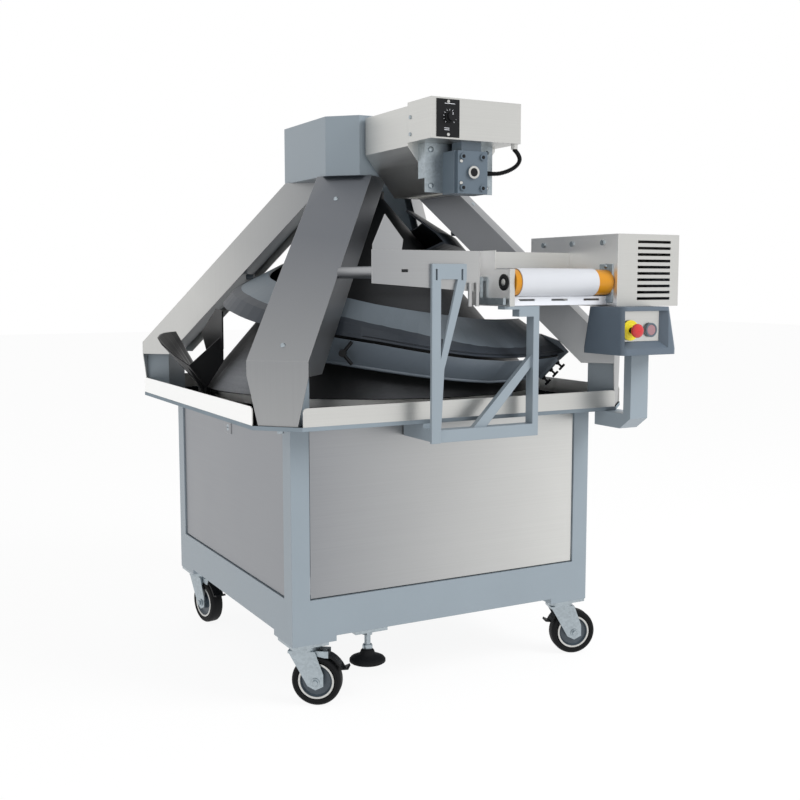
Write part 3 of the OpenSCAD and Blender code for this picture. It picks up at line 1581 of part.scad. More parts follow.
// Brake shoe round the tyre, with its eye and its blade
module caster_pedal(i) {
    pivot = pedal_pivot(i);
    near = wheel_r + pedal_gap;
    far = near + pedal_t;
    arc = [for (k = [0:4]) pedal_from + (pedal_to - pedal_from) * k / 4];
    outline = concat([for (t = arc) by_axle(i, t, near)],
        [by_axle(i, pedal_to - pedal_edge, far + pedal_blade), by_axle(i, pedal_to, far + pedal_blade)],
        [for (k = [4:-1:0]) by_axle(i, arc[k], far)],
        [[pivot[0], pivot[1] + pedal_eye_r - pedal_lap], [pivot[0], pivot[1] - pedal_eye_r + pedal_lap]]);
    color(black) at_caster(i) difference() {
        union() {
            upright(outline, pedal_w);
            translate([pivot[0], -pedal_w / 2, pivot[1]]) rod_y(pedal_eye_r, pedal_w);
        }
        translate([pivot[0], -pedal_w / 2 - overrun, pivot[1]]) rod_y(pedal_pin_r + fit, pedal_w + 2 * overrun);
    }
}

module caster_wheel(i) {
    half = wheel_w / 2;
    rim = wheel_r * rim_r_share;
    color(black) at_caster(i) translate([caster_trail, 0, wheel_r]) rotate([90, 0, 0]) rotate_extrude($fn = 96)
        polygon([[axle_r + fit, -half - fork_gap / 2], [hub_r, -half - fork_gap / 2], [hub_r, -half + rim_step],
            [rim, -half + rim_step], [rim, -half], [wheel_r - tread_round, -half], [wheel_r, -half + tread_round],
            [wheel_r, half - tread_round], [wheel_r - tread_round, half], [rim, half], [rim, half - rim_step],
            [hub_r, half - rim_step], [hub_r, half + fork_gap / 2], [axle_r + fit, half + fork_gap / 2]]);
}

base_frame();
fixed_panels();
left_panel();
panel_lock();
table_plate();
tray_rims();
leg_frame();
leg_covers();
hub_housing();
spindle();
spindle_bearings();
drive_gearbox();
drive_motor();
cone();
cone_ring();
upper_track();
lower_track();
track_supports();
star_knobs();
clamp_lever();
infeed_chute();
duster_hopper();
agitator();
duster_control_box();
duster_control_plate();
speed_knob();
duster_gear_bracket();
duster_gearbox();
duster_conduit();
conveyor_frame();
conveyor_belt();
front_roller();
drive_roller();
belt_lever();
belt_scraper();
conveyor_housing();
conveyor_motor();
guide_plates();
bracket_frame();
control_arm();
control_box();
control_plate();
stop_button();
start_button();
foot_front();
foot_rear();
fasteners();
caster_plates();
caster_fork(0);  // caster_fork_1
caster_fork(1);  // caster_fork_2
caster_fork(2);  // caster_fork_3
caster_fork(3);  // caster_fork_4
caster_wheel(0);  // caster_wheel_1
caster_wheel(1);  // caster_wheel_2
caster_wheel(2);  // caster_wheel_3
caster_wheel(3);  // caster_wheel_4
caster_pedal(0);  // caster_pedal_1
caster_pedal(1);  // caster_pedal_2
caster_pedal(2);  // caster_pedal_3
caster_pedal(3);  // caster_pedal_4
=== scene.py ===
"""Dough rounder: finishes for every node, turned wheels and feet, small fittings and a plain studio."""

import json
import math

import bmesh
import bpy
from bpy.props import FloatProperty, FloatVectorProperty, PointerProperty
from bpy.types import Operator, Panel, PropertyGroup
from mathutils import Matrix, Vector


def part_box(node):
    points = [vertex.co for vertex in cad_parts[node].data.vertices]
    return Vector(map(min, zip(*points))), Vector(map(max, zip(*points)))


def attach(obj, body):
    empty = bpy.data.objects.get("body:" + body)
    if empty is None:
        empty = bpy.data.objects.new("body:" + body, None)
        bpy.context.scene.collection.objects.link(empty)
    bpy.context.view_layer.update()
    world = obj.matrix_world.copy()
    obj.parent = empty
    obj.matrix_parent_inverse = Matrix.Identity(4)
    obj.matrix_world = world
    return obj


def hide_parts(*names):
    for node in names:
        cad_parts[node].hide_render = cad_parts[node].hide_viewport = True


bl_info = {
    "name": "Dough rounder",
    "version": (1, 0, 0),
    "blender": (4, 5, 0),
    "location": "View3D > Sidebar > Rounder",
    "description": "Dresses a conical dough rounder around its fixed frame",
    "category": "Object",
}

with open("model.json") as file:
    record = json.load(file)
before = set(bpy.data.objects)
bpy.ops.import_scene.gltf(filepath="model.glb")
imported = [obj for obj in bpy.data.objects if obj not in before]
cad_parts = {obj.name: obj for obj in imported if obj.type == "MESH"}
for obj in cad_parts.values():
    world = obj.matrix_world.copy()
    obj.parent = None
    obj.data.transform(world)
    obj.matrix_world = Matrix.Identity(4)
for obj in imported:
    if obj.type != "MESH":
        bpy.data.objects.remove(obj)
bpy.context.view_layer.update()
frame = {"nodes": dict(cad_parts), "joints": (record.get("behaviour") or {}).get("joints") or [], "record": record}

MM = 0.001
CASTERS = ("front_left", "front_right", "rear_left", "rear_right")
UP = Vector((0, 0, 1))
FRONT = Vector((0, -1, 0))
BACK = Vector((0, 1, 0))
LEFT = Vector((-1, 0, 0))


def tone(red, green, blue):
    """Turns a screen colour of 0 to 255 into the linear colour that shaders use."""
    shares = [value / 255 for value in (red, green, blue)]
    return tuple(s / 12.92 if s <= 0.04045 else ((s + 0.055) / 1.055) ** 2.4 for s in shares)


def colour(label, text, *screen):
    """One colour that a user may change."""
    return FloatVectorProperty(name=label, description=text, subtype="COLOR", size=3, min=0, max=1,
                               default=tone(*screen))


def length(label, text, millimetres):
    """One size that a user may change."""
    return FloatProperty(name=label, description=text, unit="LENGTH", min=0, default=millimetres * MM)


class RounderColours(PropertyGroup):
    """Colours of the finishes."""

    paint: colour("Paint", "Satin paint of the frame, the hub and the brackets", 143, 155, 164)
    # Panel steel at the left and at the right: a shaded and a lit copy of one steel, blended as a painted
    # reflection
    panel: colour("Panel steel", "Brushed steel of the cabinet panels at the left", 146, 148, 152)
    panel_reflection: colour("Light panel steel", "Brushed steel of the cabinet panels at the right",
                        217, 217, 214)
    bright: colour("Bright steel", "Brushed steel of rims, duster and drive housing", 208, 208, 205)
    # Leg cover steel: a shaded and a lit copy of one steel, blended as a painted reflection
    cover_shaded: colour("Shaded cover", "Steel of the leg cover at the front left", 117, 120, 125)
    cover_reflection: colour("Light cover", "Steel of the leg cover at the rear", 203, 203, 201)
    zinc: colour("Zinc", "Plating of casters, bolts and levers", 172, 182, 188)
    cone: colour("Cone coat", "Non-stick coat of the cone", 152, 155, 160)
    # Track roof and wall: a lit and a shaded copy of the track's paint, painted light and shade
    track_lit: colour("Track roof", "Coat of the track's roof", 128, 139, 148)
    track_shaded: colour("Track wall", "Coat of the track's wall", 58, 64, 72)
    apron: colour("Lower track", "Coat of the lower track", 110, 120, 130)
    gear: colour("Gear paint", "Gloss paint of gearboxes and motors", 84, 98, 110)
    black: colour("Black", "Black plastic and rubber", 19, 20, 22)
    slate: colour("Slate", "Moulded plastic of the control box", 94, 106, 118)
    white: colour("White", "White plastic and the belt", 232, 235, 241)
    amber: colour("Amber", "Rubber of the belt rollers", 205, 138, 12)
    red: colour("Red", "Head of the stop button", 196, 40, 44)
    rose: colour("Rose", "Cap of the start button", 158, 122, 128)
    yellow: colour("Yellow", "Disc under the stop button", 232, 214, 48)


class RounderSizes(PropertyGroup):
    """Sizes of the dressed pieces."""

    edge_round: length("Edge round", "Round that catches light on sheet and tube edges", 1.6)
    tyre_round: length("Tyre shoulder", "Round of a tyre's shoulders", 9)
    rim_roll: length("Rim roll", "Radius of the roll along the lower track", 5)
    tick: length("Scale mark", "Width of a mark on the speed scale", 0.9)


class RounderStage(PropertyGroup):
    """Camera and light."""

    eye: FloatVectorProperty(name="Camera", description="Place of the camera", subtype="XYZ", unit="LENGTH",
                             size=3, default=(-1.4366, -2.82077, 1.04277))
    yaw: FloatProperty(name="Yaw", description="Turn of the camera towards the right of straight ahead",
                       subtype="ANGLE", default=math.radians(28.47))
    pitch: FloatProperty(name="Pitch", description="Downward tilt of the camera", subtype="ANGLE",
                         default=math.radians(6.16))
    lens: FloatProperty(name="Lens", description="Focal length in millimetres", default=49.21)
    sky: FloatProperty(name="Sky", description="Strength of the light from all round", default=0.5)
    key: FloatProperty(name="Key light", description="Power of the main lamp", subtype="POWER", default=150)
    fill: FloatProperty(name="Fill light", description="Power of the second lamp", subtype="POWER",
                        default=16)


# Shaders

# Depths of fine grain and of orange peel, and how far off a surface still casts painted shade into a hollow, in
# metres
GRAIN_DEPTH = 0.0004
PEEL_DEPTH = 0.0005
HOLLOW_REACH = 0.25
EDGE_SAMPLES = 4
HOLLOW_SAMPLES = 10
# Colours of the painted highlight along the edges of steel and of the painted reflection on the faces that look
# left
EDGE_HIGHLIGHT = (0.86, 0.86, 0.85)
LEFT_REFLECTION = (0.95, 0.95, 0.94)
# The track's fold lies where the radius and the leaned height, both in metres, have this sum
FOLD_LEAN = 1.02
FOLD_SUM = 1.4215
# Stretches of the noise that make streaks run level or upright
LEVEL_GRAIN = (1, 1, 240)
UPRIGHT_GRAIN = (240, 240, 1)
RING_GRAIN = (1, 1, 46)


class Wire:
    """A shader value that Python's operators can work on."""

    def __init__(self, finish, socket):
        self.finish = finish
        self.socket = socket

    def _math(self, operation, first, second):
        return self.finish.node("ShaderNodeMath", {"operation": operation}, {0: first, 1: second})

    def __add__(self, other):
        return self._math("ADD", self, other)

    __radd__ = __add__

    def __sub__(self, other):
        return self._math("SUBTRACT", self, other)

    def __rsub__(self, other):
        return self._math("SUBTRACT", other, self)

    def __mul__(self, other):
        return self._math("MULTIPLY", self, other)

    __rmul__ = __mul__

    def __gt__(self, other):
        return self._math("GREATER_THAN", self, other)


class Finish:
    """One procedural material."""

    def __init__(self, name):
        self.material = bpy.data.materials.new(name)
        self.material.use_nodes = True
        self.tree = self.material.node_tree
        self.shader = self.tree.nodes["Principled BSDF"]

    def node(self, kind, settings=None, inputs=None, out=0):
        """Adds a node: its settings first, then the values or links of its sockets."""
        node = self.tree.nodes.new(kind)
        for key, value in (settings or {}).items():
            setattr(node, key, value)
        for key, value in (inputs or {}).items():
            self.join(node.inputs[key], value)
        return Wire(self, node.outputs[out])

    def join(self, socket, value):
        if isinstance(value, Wire):
            self.tree.links.new(value.socket, socket)
        else:
            socket.default_value = value

    def feed(self, **sockets):
        """Sets the shader's sockets, named with underscores for spaces."""
        for key, value in sockets.items():
            self.join(self.shader.inputs[key.replace("_", " ").title()], value)
        return self

    def gloss(self, level):
        """Sets how much a coat mirrors."""
        self.shader.inputs["Specular IOR Level"].default_value = level

    def place(self, stretch=(1, 1, 1)):
        """Object coordinates, stretched along the axes."""
        whole = self.node("ShaderNodeTexCoord", out="Object")
        return self.node("ShaderNodeMapping", inputs={"Vector": whole, "Scale": stretch})

    def noise(self, scale, detail, stretch=(1, 1, 1)):
        return self.node("ShaderNodeTexNoise", inputs={"Vector": self.place(stretch), "Scale": scale,
                                                       "Detail": detail})

    def blend(self, factor, first, second):
        """Mixes two colours."""
        flat = [c if isinstance(c, Wire) else (*c, 1) for c in (first, second)]
        return self.node("ShaderNodeMix", {"data_type": "RGBA"}, {0: factor, 6: flat[0], 7: flat[1]}, out=2)

    def mottled(self, factor, base, low, high):
        """A colour that wanders between two shares of itself."""
        return self.blend(factor, shade(base, low), shade(base, high))

    def coordinate(self, kind, axis):
        whole = self.node("ShaderNodeTexCoord", out=kind)
        return self.node("ShaderNodeSeparateXYZ", inputs={0: whole}, out="XYZ".index(axis))

    def facing(self, axis):
        """How far the surface looks along an axis, from -1 to 1."""
        return self.coordinate("Normal", axis)

    def along(self, axis):
        """The place along an axis, in metres."""
        return self.coordinate("Object", axis)

    def clamped(self, value):
        return self.node("ShaderNodeMath", {"operation": "ADD", "use_clamp": True}, {0: value, 1: 0.0})

    def ramp(self, start=0.0, **rises):
        """Goes from nought to one, by its rise for each metre along the named axes."""
        level = start
        for axis, rise in rises.items():
            level = self.along(axis.upper()) * rise + level
        return self.clamped(level)

    def soft_edge(self, share=1.0):
        """A normal that rounds the edges, by a share of the edge round."""
        radius = bpy.context.scene.rounder_sizes.edge_round * share
        return self.node("ShaderNodeBevel", {"samples": EDGE_SAMPLES}, {"Radius": radius})

    def edge_mask(self, soft, gain, share=1.0):
        """Marks the edges up to a share, where the softened normal turns away from the flat one."""
        flat = self.node("ShaderNodeNewGeometry", out="Normal")
        same = self.node("ShaderNodeVectorMath", {"operation": "DOT_PRODUCT"}, {0: soft, 1: flat},
                         out="Value")
        return self.clamped((1 - same) * gain) * share

    def painted_hollow_shade(self, dark, light, gain=1.0, start=0.0):
        """Darkens a colour with painted shade where other surfaces stand close."""
        open_air = self.node("ShaderNodeAmbientOcclusion", {"samples": HOLLOW_SAMPLES},
                             {"Distance": HOLLOW_REACH}, out="AO")
        return self.blend(self.clamped((open_air - start) * gain), dark, light)

    def bump(self, height, normal, strength, depth=GRAIN_DEPTH):
        return self.node("ShaderNodeBump", inputs={"Height": height, "Normal": normal, "Strength": strength,
                                                   "Distance": depth})


def shade(base, share):
    """A lighter or darker version of a colour."""
    return tuple(min(1, value * share) for value in base)


def swing(noise, reach):
    """Noise made to swing about nought."""
    return (noise - 0.5) * reach


def weighed(first, second, share):
    """A share of the first value and what is left of the second."""
    return first * share + second * (1 - share)


def painted(name, base, rough, peel=0.08, edge=1.28, coat=0.25):
    """Sprayed paint: slight clouding, orange peel and edges lightened as a painted highlight."""
    finish = Finish(name)
    soft = finish.soft_edge()
    cloud = finish.noise(scale=7, detail=4)
    pits = finish.noise(scale=620, detail=2)
    body = finish.mottled(cloud, base, low=0.93, high=1.06)
    # Painted highlight: the edges are lightened by the edge share
    edge_highlight = finish.edge_mask(soft, gain=3.0)
    finish.feed(base_color=finish.blend(edge_highlight, body, shade(base, edge)),
                roughness=rough + swing(cloud, reach=0.16),
                normal=finish.bump(pits, soft, peel, PEEL_DEPTH), coat_weight=coat, coat_roughness=0.3)
    return finish.material


def brushed(name, base, rough, grain, second=None, split=None, left=0.0):
    """Brushed steel: fine streaks along the sheet, faint smudges and edges lightened as a painted highlight."""
    finish = Finish(name)
    soft = finish.soft_edge()
    streak = finish.noise(scale=3.2, detail=5, stretch=grain)
    smudge = finish.noise(scale=4.5, detail=4)
    low_share, high_share = 0.84, 1.1
    low, high = shade(base, low_share), shade(base, high_share)
    # A second colour blended in by place is a painted reflection
    if second is not None:
        place = split(finish)
        low = finish.blend(place, low, shade(second, low_share))
        high = finish.blend(place, high, shade(second, high_share))
    body = finish.blend(weighed(streak, smudge, share=0.6), low, high)
    # Painted reflection: faces that look left are lightened
    if left:
        body = finish.blend(finish.clamped(finish.facing("X") * -left), body, LEFT_REFLECTION)
    # Painted highlight: the edges are lightened
    edge_highlight = finish.edge_mask(soft, gain=2.0, share=0.7)
    finish.feed(base_color=finish.blend(edge_highlight, body, EDGE_HIGHLIGHT), metallic=1.0,
                roughness=rough + swing(streak, reach=0.2) + swing(smudge, reach=0.14),
                normal=finish.bump(streak, soft, strength=0.05))
    return finish.material


def moulded(name, base, rough, grain=900, strength=0.12, coat=0.0, spread=0.1, gloss=0.4):
    """Moulded plastic or rubber with a fine grain and edges lightened as a painted highlight."""
    finish = Finish(name)
    soft = finish.soft_edge()
    cloud = finish.noise(scale=14, detail=3)
    pores = finish.noise(scale=grain, detail=2)
    body = finish.mottled(cloud, base, low=1 - spread, high=1 + spread)
    # Painted highlight: the edges are lightened
    edge_highlight = finish.edge_mask(soft, gain=2.0, share=0.4)
    finish.gloss(gloss)
    finish.feed(base_color=finish.blend(edge_highlight, body, shade(base, 1.7)),
                roughness=rough + swing(cloud, reach=0.14),
                normal=finish.bump(pores, soft, strength), coat_weight=coat)
    return finish.material


def plated(name, base, rough=0.34):
    """Zinc plating with its crystal mottling."""
    finish = Finish(name)
    soft = finish.soft_edge(share=0.6)
    flakes = finish.node("ShaderNodeTexVoronoi", inputs={"Vector": finish.place(), "Scale": 190.0},
                         out="Color")
    level = finish.node("ShaderNodeSeparateColor", inputs={0: flakes})
    smudge = finish.noise(scale=30, detail=3)
    body = finish.mottled(weighed(level, smudge, share=0.4), base, low=0.72, high=1.12)
    finish.feed(base_color=body, metallic=1.0, roughness=rough + swing(smudge, reach=0.24),
                normal=finish.bump(smudge, soft, strength=0.05))
    return finish.material


def lit_and_shaded(name, upper, lower, rough, level, hollow_shade_share=0.5, split=None, gloss=0.3):
    """A coat whose upward faces have one colour and the others another, as painted light and shade by facing, with
    painted shade in hollows.
    """
    finish = Finish(name)
    soft = finish.soft_edge()
    cloud = finish.noise(scale=9, detail=4)
    grain = finish.noise(scale=700, detail=2)
    top = finish.mottled(cloud, upper, low=0.93, high=1.07)
    under = finish.mottled(cloud, lower, low=0.85, high=1.15)
    # Painted light and shade: the colour follows which way a face looks
    upward = finish.facing("Z") > level
    body = finish.blend(upward * split(finish) if split else upward, under, top)
    finish.gloss(gloss)
    # Painted shade where other surfaces stand close
    finish.feed(base_color=finish.painted_hollow_shade(shade(lower, hollow_shade_share), body),
                roughness=rough + swing(cloud, reach=0.16),
                normal=finish.bump(grain, soft, strength=0.06))
    return finish.material


def cone_finish(name, base):
    """Dark non-stick coat with faint rings left by the dough, with painted shade towards the top and in hollows.
    """
    finish = Finish(name)
    soft = finish.soft_edge()
    rings = finish.noise(scale=2.4, detail=4, stretch=RING_GRAIN)
    spots = finish.noise(scale=36, detail=4)
    grain = finish.noise(scale=820, detail=2)
    body = finish.mottled(weighed(rings, spots, share=0.6), base, low=0.72, high=1.3)
    # Painted shade: darker towards the top
    body = finish.blend(finish.ramp(start=-3.55, z=4.5), body, shade(base, 0.12))
    finish.gloss(0.2)
    # Painted shade in hollows
    finish.feed(base_color=finish.painted_hollow_shade(shade(base, 0.04), body, gain=2.6, start=0.5),
                roughness=0.5 + swing(spots, reach=0.2), normal=finish.bump(grain, soft, strength=0.1))
    return finish.material


def track_split(finish):
    """One on the roof and nought on the wall, which lies beyond the track's fold; the wall gets the painted shade.
    """
    x, y, z = (finish.along(axis) for axis in "XYZ")
    radius = finish.node("ShaderNodeMath", {"operation": "SQRT"}, {0: x * x + y * y})
    return (radius + z * FOLD_LEAN) * -1 > -FOLD_SUM


def cover_reflection_ramp(finish):
    """A painted reflection that rises to the rear and to the right, and on the front legs towards their feet."""
    rear = finish.ramp(start=0.2, x=-0.3, y=1.6)
    low = finish.ramp(start=0.99, x=-0.21, z=-0.91)
    return finish.clamped(rear + low + finish.ramp(x=0.65))


def panel_reflection_ramp(finish):
    """A painted reflection that runs from the left to the right."""
    return finish.ramp(start=0.5, x=1.15)


def make_finishes(colours):
    """All finishes, by the record's slots and by the names of the dressed pieces."""
    return {
        "paint": painted("satin_paint", colours.paint, 0.42),
        # Table: painted shade, its upward faces near black and its other faces the paint
        "table": lit_and_shaded("table_painted_shade", shade(colours.black, 0.45), colours.paint, 0.6, level=0.5,
                           hollow_shade_share=0.02, gloss=0.0),
        "track_paint": painted("dark_paint", colours.apron, 0.4),
        # Track: painted light on the roof, painted shade on the wall and on faces that don't look up
        "track": lit_and_shaded("track_light_and_shade", colours.track_lit, colours.track_shaded, 0.42, level=0.08,
                           split=track_split),
        # Panel steel with a painted reflection from left to right
        "panel_steel": brushed("panel_steel", colours.panel, 0.36, LEVEL_GRAIN, colours.panel_reflection,
                               panel_reflection_ramp),
        # Bright steel with its left faces lightened as a painted reflection
        "bright_steel": brushed("bright_steel", colours.bright, 0.36, LEVEL_GRAIN, left=1.1),
        "hopper_steel": brushed("hopper_steel", colours.bright, 0.36, LEVEL_GRAIN),
        # Leg covers with a painted reflection
        "covers": brushed("cover_steel", colours.cover_shaded, 0.4, UPRIGHT_GRAIN, colours.cover_reflection,
                          cover_reflection_ramp),
        "zinc": plated("zinc_plate", colours.zinc),
        "cast": painted("cast_iron", colours.apron, 0.6, peel=0.5, coat=0.0),
        "gear_paint": painted("gear_gloss", colours.gear, 0.34, peel=0.16, edge=1.5, coat=0.4),
        "cone_coat": cone_finish("cone_coat", colours.cone),
        "apron_coat": painted("apron_coat", colours.apron, 0.36, peel=0.05, edge=1.5),
        "black_plastic": moulded("black_plastic", colours.black, 0.42, gloss=0.22),
        "slate_plastic": moulded("slate_plastic", colours.slate, 0.44, grain=520, strength=0.22),
        "white_plastic": moulded("white_plastic", colours.white, 0.36, strength=0.05, spread=0.03),
        "belt_fabric": moulded("belt_fabric", shade(colours.white, 0.78), 0.5, grain=1500, strength=0.3,
                               spread=0.03),
        "amber_rubber": moulded("amber_rubber", colours.amber, 0.38, coat=0.2),
        "red_plastic": moulded("red_plastic", colours.red, 0.28, strength=0.02, coat=0.4),
        "yellow_plastic": moulded("yellow_plastic", colours.yellow, 0.4, strength=0.02),
        "black_rubber": moulded("black_rubber", shade(colours.black, 0.8), 0.62, grain=420, strength=0.3,
                                gloss=0.2),
        "rose_plastic": moulded("rose_plastic", colours.rose, 0.36, strength=0.03),
        "rim_grey": painted("rim_grey", shade(colours.gear, 0.6), 0.44),
        "rim_light": plated("rim_light", colours.bright, 0.3),
    }


FINISHES = {}


def finish_named(name):
    """A finish, all of them being made at the first call."""
    if not FINISHES:
        FINISHES.update(make_finishes(bpy.context.scene.rounder_colours))
    return FINISHES[name]


def coat(piece, finish):
    piece.data.materials.clear()
    piece.data.materials.append(finish_named(finish))


# Modelling: places are in metres, as in the frame, and a piece's own sizes in millimetres

SMOOTH_ANGLE = math.radians(35)
MERGE_DISTANCE = 1e-6
RING_STEPS = 56
BEVEL_STEPS = 3
CORNER_STEPS = 4
BAR_STEPS = 6
SCREW_SIDES = 20
HEXAGON_SIDES = 6
# Radius and height along a dome screw's head, as shares of its own
DOME_SHARES = ((1, 0), (1, 0.25), (0.92, 0.6), (0.7, 0.88), (0.35, 1))


def clear_selection():
    bpy.ops.object.select_all(action="DESELECT")


def active(piece):
    clear_selection()
    piece.select_set(True)
    bpy.context.view_layer.objects.active = piece
    return piece


def stand(piece, name, place, axis, own_axis):
    """Turns a piece from its own axis to the given one, puts it in place and applies both."""
    piece.name = name
    piece.data.name = name
    turn = own_axis.rotation_difference(Vector(axis)).to_matrix().to_4x4()
    piece.matrix_world = Matrix.Translation(Vector(place)) @ turn
    active(piece)
    bpy.ops.object.transform_apply(location=True, rotation=True, scale=True)
    return piece


def edited():
    """Opens the new primitive in edit mode with all of it selected."""
    piece = bpy.context.object
    bpy.ops.object.mode_set(mode="EDIT")
    bpy.ops.mesh.select_all(action="SELECT")
    return piece


def close_up(piece):
    """Merges doubles and turns the normals outwards, in edit mode."""
    bpy.ops.mesh.select_all(action="SELECT")
    bpy.ops.mesh.remove_doubles(threshold=MERGE_DISTANCE)
    bpy.ops.mesh.normals_make_consistent(inside=False)
    bpy.ops.object.mode_set(mode="OBJECT")
    return piece


def turned(name, profile, place, axis, sides):
    """A solid turned about an axis, extruded from one radius and height to the next."""
    clear_selection()
    (radius, height), *rest = [(r * MM, z * MM) for r, z in profile]
    bpy.ops.mesh.primitive_circle_add(vertices=sides, radius=radius, fill_type="NGON")
    piece = edited()
    bpy.ops.transform.translate(value=(0, 0, height))
    for wider, higher in rest:
        bpy.ops.mesh.extrude_region_move(TRANSFORM_OT_translate={"value": (0, 0, higher - height)})
        bpy.ops.transform.resize(value=(wider / radius, wider / radius, 1), center_override=(0, 0, higher))
        radius, height = wider, higher
    close_up(piece)
    return stand(piece, name, place, axis, UP)


def spun_ring(name, inner, outer, half, soft, place, axis):
    """A ring spun from a rounded rectangle."""
    clear_selection()
    bpy.ops.mesh.primitive_plane_add(size=1)
    piece = edited()
    bpy.ops.transform.resize(value=((outer - inner) * MM, 2 * half * MM, 1))
    bpy.ops.transform.translate(value=((outer + inner) / 2 * MM, 0, 0))
    bpy.ops.mesh.bevel(offset=soft * MM, segments=CORNER_STEPS, affect="VERTICES")
    bpy.ops.mesh.select_all(action="SELECT")
    bpy.ops.mesh.delete(type="ONLY_FACE")
    bpy.ops.mesh.select_all(action="SELECT")
    bpy.ops.mesh.spin(steps=RING_STEPS, angle=2 * math.pi, center=(0, 0, 0), axis=BACK)
    close_up(piece)
    return stand(piece, name, place, axis, BACK)


def block(name, place, corners, soft=0.0):
    """A box between two corners about its place, with rounded edges."""
    clear_selection()
    low, high = (Vector(corner) * MM for corner in corners)
    bpy.ops.mesh.primitive_cube_add(size=1)
    piece = edited()
    bpy.ops.transform.resize(value=high - low)
    if soft:
        bpy.ops.mesh.bevel(offset=soft * MM, segments=BEVEL_STEPS, affect="EDGES")
    close_up(piece)
    return stand(piece, name, Vector(place) + (low + high) / 2, UP, UP)


def tube(name, points, radius):
    """A round bar along a row of points."""
    clear_selection()
    path = bpy.data.curves.new(name, "CURVE")
    path.dimensions = "3D"
    path.bevel_depth = radius * MM
    path.bevel_resolution = BAR_STEPS
    path.use_fill_caps = True
    spline = path.splines.new("POLY")
    spline.points.add(len(points) - 1)
    for point, place in zip(spline.points, points):
        point.co = (*place, 1)
    piece = bpy.data.objects.new(name, path)
    bpy.context.scene.collection.objects.link(piece)
    active(piece)
    bpy.ops.object.convert(target="MESH")
    return close_up(edited())


def copied(piece, moves):
    """A piece and its copies at other places, each with its own mesh."""
    group = [piece]
    for move in moves:
        other = piece.copy()
        other.data = piece.data.copy()
        other.data.transform(Matrix.Translation(move))
        bpy.context.scene.collection.objects.link(other)
        group.append(other)
    return group


def joined(name, parts):
    """Several meshes as one piece."""
    clear_selection()
    for part in parts:
        part.select_set(True)
    bpy.context.view_layer.objects.active = parts[0]
    if len(parts) > 1:
        bpy.ops.object.join()
    parts[0].name = name
    return parts[0]


def dress(piece, finish, body, replaced=None):
    """Gives a piece its finish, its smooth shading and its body."""
    active(piece)
    bpy.ops.object.shade_smooth_by_angle(angle=SMOOTH_ANGLE)
    coat(piece, finish)
    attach(piece, body)
    if replaced:
        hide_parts(replaced)
    return piece


def joint_value(joint, key):
    return Vector(next(j[key] for j in frame["joints"] if j["name"] == joint))


def spot(joint):
    """Where a joint sits."""
    return joint_value(joint, "pos_m")


def way(joint):
    """The axis that a joint turns about."""
    return joint_value(joint, "axis")


def low_corner(node):
    """The left, front and lower corner of a node's box."""
    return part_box(node)[0]


def middle(node):
    low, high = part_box(node)
    return (low + high) / 2


def about(centre, offsets):
    """Places about a centre."""
    return [Vector(centre) + Vector(offset) * MM for offset in offsets]


def screws(name, places, axis, size, body, finish="zinc"):
    """Dome screws of one radius and height at several places, as one piece."""
    radius, height = size
    dome = [(radius * wide, height * high) for wide, high in DOME_SHARES]
    first = turned(name, dome, places[0], axis, SCREW_SIDES)
    moves = [place - places[0] for place in places[1:]]
    return dress(joined(name, copied(first, moves)), finish, body)


class RounderOperator:
    """What all steps share."""

    bl_options = {"REGISTER", "UNDO"}


class ROUNDER_OT_finishes(RounderOperator, Operator):
    """Gives every node of the frame its finish"""

    bl_idname = "rounder.finishes"
    bl_label = "Finish the frame"

    # Nodes whose finish isn't the one of their slot
    special = {
        "table_plate": "table",
        "upper_track": "track",
        "leg_covers": "covers",
        "guide_plates": "panel_steel",
        "conveyor_frame": "bright_steel",
        "start_button": "rose_plastic",
        "duster_hopper": "hopper_steel",
        "duster_control_box": "hopper_steel",
    }

    def execute(self, context):
        for part in frame["record"]["subparts"]:
            name = part["node"]
            coat(frame["nodes"][name], self.special.get(name, part["material_slot"]))
        return {"FINISHED"}


